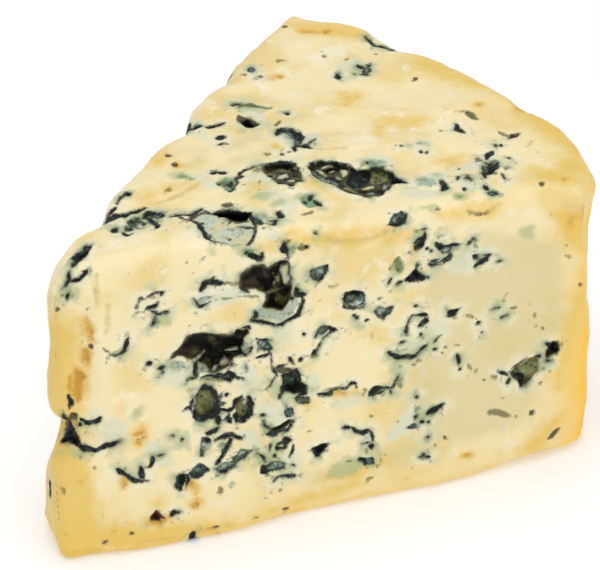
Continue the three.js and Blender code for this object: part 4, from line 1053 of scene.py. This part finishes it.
def relief_depth(points, marks):
    """How far each point of the skin sinks, in millimetres: first the dents less the lips, then the caves.

    Each kind's dent is a smooth step from its edge inwards, and the cave's is a steeper step with lumps."""
    dent = sum(depth * ease(-marks[kind], -0.25, 0.6) for kind, depth in DENTS.items())
    lumps = 1 + 0.35 * noise(points, 2.8, 3) + 0.2 * noise(points, 1.3, 4)
    curd = ease(-marks["pale"], -0.4, 0.8)
    cave = marks["sunk"] * lumps * (1 - 0.6 * curd)
    lip = LIP * np.exp(-((marks["cave"] - 0.7) / 0.6) ** 2)
    swell = BLOOM_SWELL * ease(-marks["bloom"], -1, 1)
    return dent * (1 - 0.7 * curd) - lip - swell, cave


CUT_ROUGH, CUT_FINE, FOOT_ROUGH, FURROW = 0.26, 0.13, 0.7, 0.2  # heights of the unevenness, in millimetres
WORN, WORN_HEIGHT = 1.5, 7  # how far the foot is worn back, and up to what height, in millimetres


def crumb(points, out):
    """The fine unevenness of a cut through soft paste, and of the rind, in millimetres.

    The foot of the cuts is crumbly, and worn back by a millimetre or two at the very bottom. The knife left
    upright furrows low on the nose side."""
    broad = CUT_ROUGH * rough_noise(points, 9, 11) + CUT_FINE * rough_noise(points, 3.4, 12, 2)
    foot = FOOT_ROUGH * rough_noise(points, 4.2, 13) * ease(-points[:, 2], -7, -1.5)
    worn = (WORN + 0.7 * noise(points, 22, 31)) * np.clip(1 - points[:, 2] / WORN_HEIGHT, 0, 1) ** 2
    low_nose = ease(-points[:, 0], -34, -24) * ease(-points[:, 2], -34, -24)
    furrows = FURROW * noise(points * np.array([1, 1, 0.12]), 1.8, 21) * low_nose
    return (broad + foot - worn + furrows) * (1 - ease(-out[:, 2], 0.3, 0.9))


def way_in(out):
    """Which way a cave runs into the paste, for one millimetre of depth.

    Where the skin faces the slant, the cave runs down along it, under its far edge; elsewhere straight in."""
    facing = out @ SLANT
    slanted = SLANT / np.maximum(facing, 0.3)[:, None]
    return blend(out, slanted, ease(facing, 0.25, 0.5)[:, None])


def cheese_skin(shares, triangles):
    """The finished skin at those shares of the box, in the wheel's frame, with the marks that lie on it."""
    points, out = bare_wedge(shares, triangles)
    marks = all_marks(points)
    open_air = 1 - ease(-out[:, 2], 0.3, 0.9)
    dent, cave = relief_depth(points, marks)
    points = points + (crumb(points, out) - dent * open_air)[:, None] * out
    points -= (cave * open_air)[:, None] * way_in(out)
    points[:, 2] = np.maximum(points[:, 2], 0)
    marks["depth"] = dent + cave
    return points, marks


# %% [markdown]
# ## A net that is fine only where it must be
#
# Half a millimetre between points everywhere would take more than 400,000 triangles. So the net starts
# coarse, and each edge that is too long for its place is cut in half, again and again: down to half a
# millimetre in the pockets, about one elsewhere, and four under the base. A triangle with one, two or
# three cut edges becomes two, three or four triangles, so neighbours always fit. The edges that are
# longest for their place go first, until the limit on triangles is reached.

# %% Cutting long edges
def cut_edges(shares, triangles, too_long):
    """Halves the edges that too_long picks, and splits each triangle by how many of its edges were halved."""
    sides = np.stack([triangles, np.roll(triangles, -1, axis=1)], 2)
    edges, edge_of = np.unique(np.sort(sides.reshape(-1, 2), 1), axis=0, return_inverse=True)
    edge_of = edge_of.reshape(-1, 3)
    cut = too_long(edges)
    middle = np.full(len(edges), -1)
    middle[cut] = len(shares) + np.arange(cut.sum())
    shares = np.concatenate([shares, shares[edges[cut]].mean(1)])
    is_cut, mids = cut[edge_of], middle[edge_of]
    count = is_cut.sum(1)
    pieces = [triangles[count == 0]]
    for turn in range(3):
        a, b, c = np.roll(triangles, -turn, axis=1).T
        ab, bc, ca = np.roll(mids, -turn, axis=1).T
        one = (count == 1) & np.roll(is_cut, -turn, axis=1)[:, 0]
        pieces += [np.stack(t, 1)[one] for t in ((a, ab, c), (ab, b, c))]
        two = (count == 2) & ~np.roll(is_cut, -turn, axis=1)[:, 2]
        pieces += [np.stack(t, 1)[two] for t in ((ab, b, bc), (a, ab, bc), (a, bc, c))]
    a, b, c = triangles.T
    ab, bc, ca = mids.T
    pieces += [np.stack(t, 1)[count == 3] for t in ((a, ab, ca), (ab, b, bc), (ca, bc, c), (ab, bc, ca))]
    return shares, np.concatenate(pieces)


# The longest edges, in millimetres: by a sharp mark, elsewhere, at the left cut's foot and under the base.
FINE, PLAIN, HIDDEN, UNDER = 0.5, 1.3, 1.9, 4.0
SHARP_NEAR, SHARP_FAR = 0.35, 1.6  # from a mark's edge: up to here the net is fine, from there on plain
TRIANGLE_LIMIT = 196000
SHARP_KINDS = ("dark", "slate", "cave", "pale", "brown", "mist", "moss", "rust")  # the kinds with hard edges
FIRST_CELLS, ROUNDS = (84, 56, 48), 7


def longest_allowed(points, marks):
    """The longest edge that is allowed at each point: fine near a sharp mark, plain elsewhere.

    The foot of the left cut, which stands at the back, has a coarser net."""
    near = np.min([marks[kind] for kind in SHARP_KINDS], axis=0)
    facing = (points @ FRONT_OUT > -4) | (points[:, 2] > HEIGHT - 5) | (points @ LEFT_OUT < -1)
    plain = np.where(facing, PLAIN, HIDDEN)
    fine = np.where(facing, FINE, 2 * FINE)
    allowed = blend(fine, plain, ease(near, SHARP_NEAR, SHARP_FAR))
    return np.where(points[:, 2] < 0.05, UNDER, allowed)


def fine_net(cells, rounds):
    """Starts from the box and cuts long edges until none is left, the rounds are over or the limit is
    near."""
    shares, triangles = box_sides(cells)
    for _ in range(rounds):
        points, marks = cheese_skin(shares, triangles)
        allowed = longest_allowed(points, marks)

        def too_long(edges):
            """Picks the edges that are longest for their place, as many as the limit leaves room for."""
            a, b = edges.T
            length = np.linalg.norm(points[a] - points[b], axis=1)
            over = length / np.minimum(allowed[a], allowed[b])
            room = max((TRIANGLE_LIMIT - len(triangles)) // 2, 0)
            enough = np.partition(over, -room)[-room] if 0 < room < len(over) else (1 if room else np.inf)
            return over > max(enough, 1)

        before = len(triangles)
        shares, triangles = cut_edges(shares, triangles, too_long)
        print("  net:", before, "->", len(triangles), "triangles")
        if len(triangles) == before:
            break
    return shares, triangles


net_shares, net_triangles = fine_net(FIRST_CELLS, ROUNDS)
skin_points, skin_marks = cheese_skin(net_shares, net_triangles)
print("skin:", len(skin_points), "points,", len(net_triangles), "triangles")

# %% Making the mesh
def make_piece(name, points, triangles, attributes):
    """A smooth mesh object at the origin from points in the wheel's frame, with number attributes."""
    mesh = bpy.data.meshes.new(name)
    mesh.vertices.add(len(points))
    mesh.vertices.foreach_set("co", ((points + SHIFT) * MM).astype(np.float32).ravel())
    mesh.loops.add(triangles.size)
    mesh.loops.foreach_set("vertex_index", triangles.astype(np.int32).ravel())
    mesh.polygons.add(len(triangles))
    mesh.polygons.foreach_set("loop_start", np.arange(0, triangles.size, 3, dtype=np.int32))
    mesh.polygons.foreach_set("use_smooth", np.ones(len(triangles), bool))
    mesh.update(calc_edges=True)
    for key, values in attributes.items():
        layer = mesh.attributes.new(key, "FLOAT", "POINT")
        layer.data.foreach_set("value", values.astype(np.float32))
    piece = bpy.data.objects.new(name, mesh)
    bpy.context.scene.collection.objects.link(piece)
    return piece


THIN_AT_TOP, THIN_AT_BASE = 6, 8  # millimetres added to the depth, so that less of the ripened layer shows


def rind_distance(points):
    """How deep each point lies under the wheel's outer face: the nearer of the curved wall and the flat base.

    The ripened layer under the wall thins out at the top, and there is little of it over the base."""
    wall = WHEEL_RADIUS - np.hypot(points[:, 0], points[:, 1])
    wall += THIN_AT_TOP * ease(points[:, 2], HEIGHT - 12, HEIGHT)
    return np.minimum(wall, points[:, 2] + THIN_AT_BASE)


stored = {key: skin_marks[key] for key in (*KINDS, "cave", "depth")}
cheese = make_piece("cheese", skin_points, net_triangles, stored | {"rind": rind_distance(skin_points)})

# %% [markdown]
# ## Writing a shader as sums
#
# Blender's shader nodes are wired by hand in its editor. In a script the wiring is easier to read as
# arithmetic, so a small class stands for one output, and +, - and * on it add the Math nodes.

# %% The wire class
class Wire:
    """One output of a shader node. Sums on it add Math nodes to the same tree."""

    def __init__(self, tree, socket):
        self.tree, self.socket = tree, socket

    def math(self, operation, *others, first=None):
        """A Math node on this wire and others. first stands before this wire, as in 1 - wire."""
        values = [first, self, *others] if first is not None else [self, *others]
        return self.tree.node("ShaderNodeMath", {"operation": operation}, dict(enumerate(values)))

    def __add__(self, other):
        return self.math("ADD", other)

    def __sub__(self, other):
        return self.math("SUBTRACT", other)

    def __rsub__(self, other):
        return self.math("SUBTRACT", first=other)

    def __mul__(self, other):
        return self.math("MULTIPLY", other)

    __radd__, __rmul__ = __add__, __mul__

    def most(self, other):
        """The larger of the two."""
        return self.math("MAXIMUM", other)

    def least(self, other):
        """The smaller of the two."""
        return self.math("MINIMUM", other)

    def step(self, low, high):
        """0 at low, 1 at high, smooth between; low may be the larger."""
        settings = {"interpolation_type": "SMOOTHSTEP"}
        if low > high:
            return 1 - self.step(high, low)
        inputs = {"Value": self, "From Min": low, "From Max": high}
        return self.tree.node("ShaderNodeMapRange", settings, inputs)


class Tree:
    """A material's nodes. node() makes one node from its type, its settings and what its sockets hold."""

    def __init__(self, name):
        self.material = bpy.data.materials.new(name)
        self.material.use_nodes = True
        self.nodes, self.links = self.material.node_tree.nodes, self.material.node_tree.links
        self.nodes.clear()

    def node(self, kind, settings=None, inputs=None, output=0):
        made = self.nodes.new(kind)
        for key, value in (settings or {}).items():
            setattr(made, key, value)
        for key, value in (inputs or {}).items():
            socket = made.inputs[key]
            if isinstance(value, Wire):
                self.links.new(value.socket, socket)
            else:
                socket.default_value = value
        return Wire(self, made.outputs[output]) if made.outputs else None

    def place(self):
        """Object coordinates."""
        return self.node("ShaderNodeTexCoord", output="Object")

    def attribute(self, key):
        """A number that is stored at the points of the mesh."""
        return self.node("ShaderNodeAttribute", {"attribute_name": key}, output="Fac")

    def noise(self, size, detail=2.0, roughness=0.5, shift=(0, 0, 0)):
        """Noise of that size in millimetres, about 0 to 1, drawn in object coordinates. A shift, in metres,
        takes it from another place, so that two noises of one size differ."""
        place = self.node("ShaderNodeMapping", {}, {"Vector": self.place(), "Location": shift})
        inputs = {"Vector": place, "Scale": 1 / (size * MM), "Detail": detail, "Roughness": roughness}
        return self.node("ShaderNodeTexNoise", {}, inputs)

    def mix(self, low, high, share):
        """Blends two colours by a share from 0 to 1."""
        settings = {"data_type": "RGBA", "clamp_factor": True}
        return self.node("ShaderNodeMix", settings, {0: share, 6: low, 7: high}, output=2)

    def bump(self, height, distance, strength=1.0, normal=None):
        """A bump from a height of about 0 to 1; distance is how far 1 stands out, in millimetres."""
        inputs = {"Height": height, "Distance": distance * MM, "Strength": strength}
        if normal is not None:
            inputs["Normal"] = normal
        return self.node("ShaderNodeBump", {}, inputs)

    def finish(self, inputs):
        """Closes the material with one Principled shader, and gives it back."""
        shader = self.node("ShaderNodeBsdfPrincipled", {}, inputs)
        self.node("ShaderNodeOutputMaterial", {}, {"Surface": shader})
        return self.material


def tint(red, green, blue):
    """A colour as a screen shows it, 0 to 255, turned into the light values that the shader needs."""
    share = np.array([red, green, blue]) / 255
    light = np.where(share <= 0.04045, share / 12.92, ((share + 0.055) / 1.055) ** 2.4)
    return (*[float(v) for v in light], 1.0)


# %% [markdown]
# ## The finish of the cheese
#
# The paste is ivory where air has reached it and yellower under the rind. Round the mould it is paler, with a
# breath of green. The kinds of mark are laid over it one by one, from the softest edge to the hardest. The
# distances stored on the skin are sharpened here by fine noise, so an edge is crisper than the net. The light
# goes a little way into the paste, so the shader scatters it below the surface.

# %% Colours
PASTE_LIGHT = tint(251, 233, 184)
PASTE_WARM = tint(240, 216, 148)
PASTE_WHITE = tint(252, 241, 212)
UNDER_RIND = tint(255, 200, 52)
RIND_SKIN = tint(204, 160, 92)
RIND_PALE = tint(226, 198, 142)
RIND_SPOT = tint(158, 118, 62)
WHITENED = tint(242, 237, 208)
BLUISH = tint(224, 225, 198)
DULLED = tint(220, 206, 152)
GOLD = tint(235, 198, 90)
VEIL = tint(180, 188, 140)
SHADE = tint(136, 148, 114)
CREASE_SHADE = tint(216, 190, 122)
TEAL = tint(112, 150, 108)
TEAL_DARK = tint(40, 72, 44)
HONEY = tint(234, 192, 92)
AMBER = tint(202, 148, 22)
AMBER_DARK = tint(132, 74, 10)
RUST = tint(98, 30, 8)
OLIVE = tint(98, 94, 36)
MOSS = tint(130, 134, 88)
MOSS_PALE = tint(168, 164, 108)
BROWN = tint(52, 38, 16)
DIM = tint(92, 84, 60)
SLATE = tint(84, 104, 98)
SLATE_GREEN = tint(76, 92, 68)
SLATE_PALE = tint(150, 164, 146)
MIST = tint(170, 184, 166)
CURD_BEIGE = tint(214, 206, 164)
CURD_BLUE = tint(196, 206, 186)
CURD_GREY = tint(134, 138, 112)
CAVE_WALL = tint(90, 84, 58)
# painted shade for the deepest part of a cave
CAVE_DEEP_SHADE = tint(20, 17, 10)
INK = tint(13, 16, 13)
INK_TEAL = tint(62, 86, 74)
SPECK = tint(150, 134, 74)
FLECK = tint(88, 96, 66)


# %% Paste and mould
WARM_DEPTH, YELLOW_DEPTH, SKIN_DEPTH = (24, 9), (13, 2), (1.3, -0.3)  # each from none to all, in millimetres


def paste(t, rind, fine):
    """Bare paste: ivory and cream in broad patches, yellower towards the rind and the foot.

    The rind is a thin tan skin, mottled pale and brown."""
    colour = t.mix(PASTE_LIGHT, PASTE_WARM, t.noise(15, 2.0).step(0.42, 0.64))
    colour = t.mix(colour, PASTE_WHITE, t.noise(6, 3.0, 0.6, shift=(0.1, 0.3, 0.2)).step(0.54, 0.7) * 0.8)
    colour = t.mix(colour, PASTE_WARM, rind.step(*WARM_DEPTH) * 0.6)
    near_rind = (rind + (t.noise(9, 2.0) - 0.5) * 6).step(*YELLOW_DEPTH)
    colour = t.mix(colour, UNDER_RIND, near_rind)
    skin = t.mix(RIND_SKIN, RIND_PALE, t.noise(3.5, 3.0, 0.65).step(0.46, 0.62) * 0.8)
    skin = t.mix(skin, RIND_SPOT, t.noise(2.2, 3.0, 0.6, shift=(0.2, 0.1, 0.5)).step(0.58, 0.7) * 0.7)
    near_skin = rind + fine * 0.6 + (t.noise(6, 2.0) - 0.5) * 3
    return t.mix(colour, skin, near_skin.step(*SKIN_DEPTH) * 0.8)


def cheese_finish():
    """The colour, gloss and fine relief of the whole cheese, laid over the bare paste kind by kind."""
    t = Tree("cheese_paste")
    field = {key: t.attribute(key) for key in (*KINDS, "cave", "depth", "rind")}
    fine, middle = t.noise(0.55, 2.0, 0.55) - 0.5, t.noise(1.6, 2.0, 0.5) - 0.5
    ragged, loose = fine * 0.5 + middle * 0.9, fine * 0.7 + (t.noise(3, 2.0, 0.55) - 0.5) * 3.4
    mottle, patches = t.noise(1.5, 3.0, 0.62), t.noise(5.5, 2.0, shift=(0.2, 0.4, 0.1))

    def lay(under, over, kind, outer, inner, rag=ragged, strength=1.0):
        """Lays a colour over another where that kind lies, from nothing at outer to all at inner, in mm."""
        return t.mix(under, over, (field[kind] + rag).step(outer, inner) * strength)

    colour = paste(t, field["rind"], fine)
    colour = lay(colour, DULLED, "cool", 3, -3, loose, 0.7)
    mould = field["dark"].least(field["slate"]).least(field["cave"]).least(field["mist"])
    colour = t.mix(colour, WHITENED, (mould + loose).step(3.4, 0.2) * 0.65)
    # yellow: ripened paste, and painted shade on the nose facet and along the rounded top edge of the front
    # cut
    colour = lay(colour, GOLD, "yellow", 3.2, -2.6, loose * 1.3, 0.85)
    colour = lay(colour, BLUISH, "bloom", 1.3, -0.8, loose, 0.8)
    # crease: painted shade along each fold
    colour = lay(colour, CREASE_SHADE, "crease", 0.8, -0.5, ragged, 0.8)
    colour = lay(colour, VEIL, "green", 1.1, -0.9, loose, 0.7)
    colour = t.mix(colour, VEIL, (mould + loose).step(3.4, 0.2) * patches.step(0.48, 0.62) * 0.6)
    shaded = patches.step(0.4, 0.6) * 0.6 + 0.12
    colour = t.mix(colour, SHADE, (mould + loose * 0.35).step(1.1, -0.1) * shaded)
    flecks = t.noise(1.8, 2.0, 0.5, shift=(0.5, 0.2, 0.3)).step(0.6, 0.72) * (mould + loose).step(2.6, 0.6)
    colour = t.mix(colour, FLECK, flecks * 0.6)
    specks = t.noise(1.6, 2.0, 0.5, shift=(0.3, 0.1, 0.2)).step(0.64, 0.76) * t.noise(14, 1.0).step(0.47, 0.6)
    colour = t.mix(colour, SPECK, specks * 0.4)
    blade = t.mix(TEAL, TEAL_DARK, mottle.step(0.52, 0.68) * 0.8)
    colour = lay(colour, blade, "teal", 0.7, -0.5, ragged, 0.9)
    colour = lay(colour, HONEY, "amber", 1.7, -0.4, loose * 0.8, 0.8)
    syrup = t.mix(AMBER, AMBER_DARK, (mottle.step(0.52, 0.68) * 0.6).most(field["depth"].step(0.8, 1.6)))
    colour = lay(colour, syrup, "amber", 0.5, -1.1, ragged * 1.8, 0.9)

    # the cave's lining, with painted shade that darkens it the deeper the cave is sunk
    cave_lining_and_shade = t.mix(CAVE_WALL, CAVE_DEEP_SHADE, (field["depth"] + (mottle - 0.5) * 4.0).step(0.4, 3.4))
    colour = lay(colour, cave_lining_and_shade, "cave", 0.2, -0.2)
    colour = lay(colour, DIM, "dim", 0.5, -0.6, ragged, 0.85)
    dust = t.mix(SLATE, SLATE_GREEN, t.noise(7, 1.0).step(0.42, 0.6))
    dust = t.mix(dust, SLATE_PALE, mottle.step(0.54, 0.7))
    dust = t.mix(dust, INK, mottle.step(0.48, 0.34) * 0.9)
    dust = t.mix(dust, INK, (field["slate"] + ragged * 2.0).step(-0.5, -0.1) * 0.85)
    colour = lay(colour, dust, "slate", 0.25, -0.2)
    colour = lay(colour, t.mix(MIST, SLATE, mottle.step(0.5, 0.34)), "mist", 0.35, -0.35, ragged, 0.9)
    moss = t.mix(MOSS, MOSS_PALE, mottle.step(0.52, 0.66) * 0.7)
    moss = t.mix(moss, INK, mottle.step(0.44, 0.32) * 0.9)
    colour = lay(colour, moss, "moss", 0.4, -0.4, ragged, 0.9)
    colour = lay(colour, OLIVE, "olive", 0.35, -0.3, ragged, 0.8)
    curd = t.mix(CURD_BEIGE, CURD_BLUE, t.noise(4, 2.0).step(0.4, 0.6))
    curd = t.mix(curd, CURD_GREY, mottle.step(0.5, 0.7) * 0.8)
    colour = lay(colour, curd, "pale", 0.1, -0.5)
    colour = lay(colour, BROWN, "brown", 0.35, -0.3, ragged, 0.9)
    colour = lay(colour, t.mix(RUST, BROWN, mottle.step(0.5, 0.64)), "rust", 0.3, -0.3, ragged, 0.95)
    ink = t.mix(INK, INK_TEAL, mottle.step(0.5, 0.7) * 0.9)
    colour = lay(colour, ink, "dark", 0.36, -0.22)

    relief = t.bump(t.noise(2.6, 3.0, 0.55), 0.45, 0.7)
    normal = t.bump(t.noise(0.8, 3.0, 0.65), 0.1, 0.7, relief)
    roughness = 0.42 + (mould + ragged).step(0.2, -0.2) * 0.3 + (mottle - 0.5) * 0.2
    return t.finish({
        "Base Color": colour, "Roughness": roughness, "Normal": normal,
        "Subsurface Weight": 0.3, "Subsurface Radius": (1.0, 0.85, 0.6), "Subsurface Scale": 0.8 * MM,
        "IOR": 1.42,
    })


cheese.data.materials.append(cheese_finish())
print("nodes in the shader:", len(cheese.data.materials[0].node_tree.nodes))
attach(cheese, "root")
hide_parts(NODE)

# %% [markdown]
# ## Table, light and camera
#
# A pale flat board under large soft lights, as for a shop's catalogue. The camera looks down over the blunt
# nose at the front cut and the top.

# %% The table
TABLE_WHITE, TABLE_GLOW, TABLE_HALF = tint(245, 246, 249), 0.19, 3.0  # half its width, in metres


def table_top():
    """A flat board that glows a little, so that it comes out nearly white."""
    half = TABLE_HALF
    mesh = bpy.data.meshes.new("table")
    corners = [(-half, -half, 0), (half, -half, 0), (half, half, 0), (-half, half, 0)]
    mesh.from_pydata(corners, [], [(0, 1, 2, 3)])
    piece = bpy.data.objects.new("table", mesh)
    bpy.context.scene.collection.objects.link(piece)
    t = Tree("table_white")
    mesh.materials.append(t.finish({
        "Base Color": TABLE_WHITE, "Roughness": 0.9,
        "Emission Color": (1, 1, 1, 1), "Emission Strength": TABLE_GLOW,
    }))


table_top()

# %% Lights
MIDDLE = Vector((0, 0, 0.035))


def soft_light(name, place, size, power):
    """A square white area light at a place in metres, aimed at the middle of the wedge.

    Its power is in watts."""
    data = bpy.data.lights.new(name, "AREA")
    data.size, data.energy = size, power
    lamp = bpy.data.objects.new(name, data)
    lamp.location = place
    lamp.rotation_euler = (MIDDLE - Vector(place)).to_track_quat("-Z", "Y").to_euler()
    bpy.context.scene.collection.objects.link(lamp)


soft_light("overhead", place=(0.0, 0.05, 0.85), size=0.8, power=3.38)
soft_light("window", place=(-0.65, -0.45, 0.55), size=0.6, power=0.35)
soft_light("front", place=(-0.15, -0.8, 0.35), size=0.7, power=1.43)

ROOM_LIGHT = 0.5
world = bpy.data.worlds.new("studio")
world.use_nodes = True
background = world.node_tree.nodes["Background"]
background.inputs["Color"].default_value = (1, 1, 1, 1)
background.inputs["Strength"].default_value = ROOM_LIGHT
bpy.context.scene.world = world
bpy.context.scene.view_settings.view_transform = "Standard"

# %% Camera
AZIMUTH, ELEVATION = math.radians(-42), math.radians(34)
DISTANCE, LENS, FILM = 500, 126.7, 36  # all in millimetres
AIM = (np.array([90.7, 0.75, 33]) + SHIFT) * MM

back = Vector((math.sin(AZIMUTH) * math.cos(ELEVATION), -math.cos(AZIMUTH) * math.cos(ELEVATION),
               math.sin(ELEVATION)))
camera_data = bpy.data.cameras.new("camera")
camera_data.lens, camera_data.sensor_width, camera_data.clip_start = LENS, FILM, 0.01
camera = bpy.data.objects.new("camera", camera_data)
camera.location = Vector(AIM) + back * DISTANCE * MM
camera.rotation_euler = (-back).to_track_quat("-Z", "Y").to_euler()
bpy.context.scene.collection.objects.link(camera)
bpy.context.scene.camera = camera
print("camera at, m:", [round(c, 3) for c in camera.location])
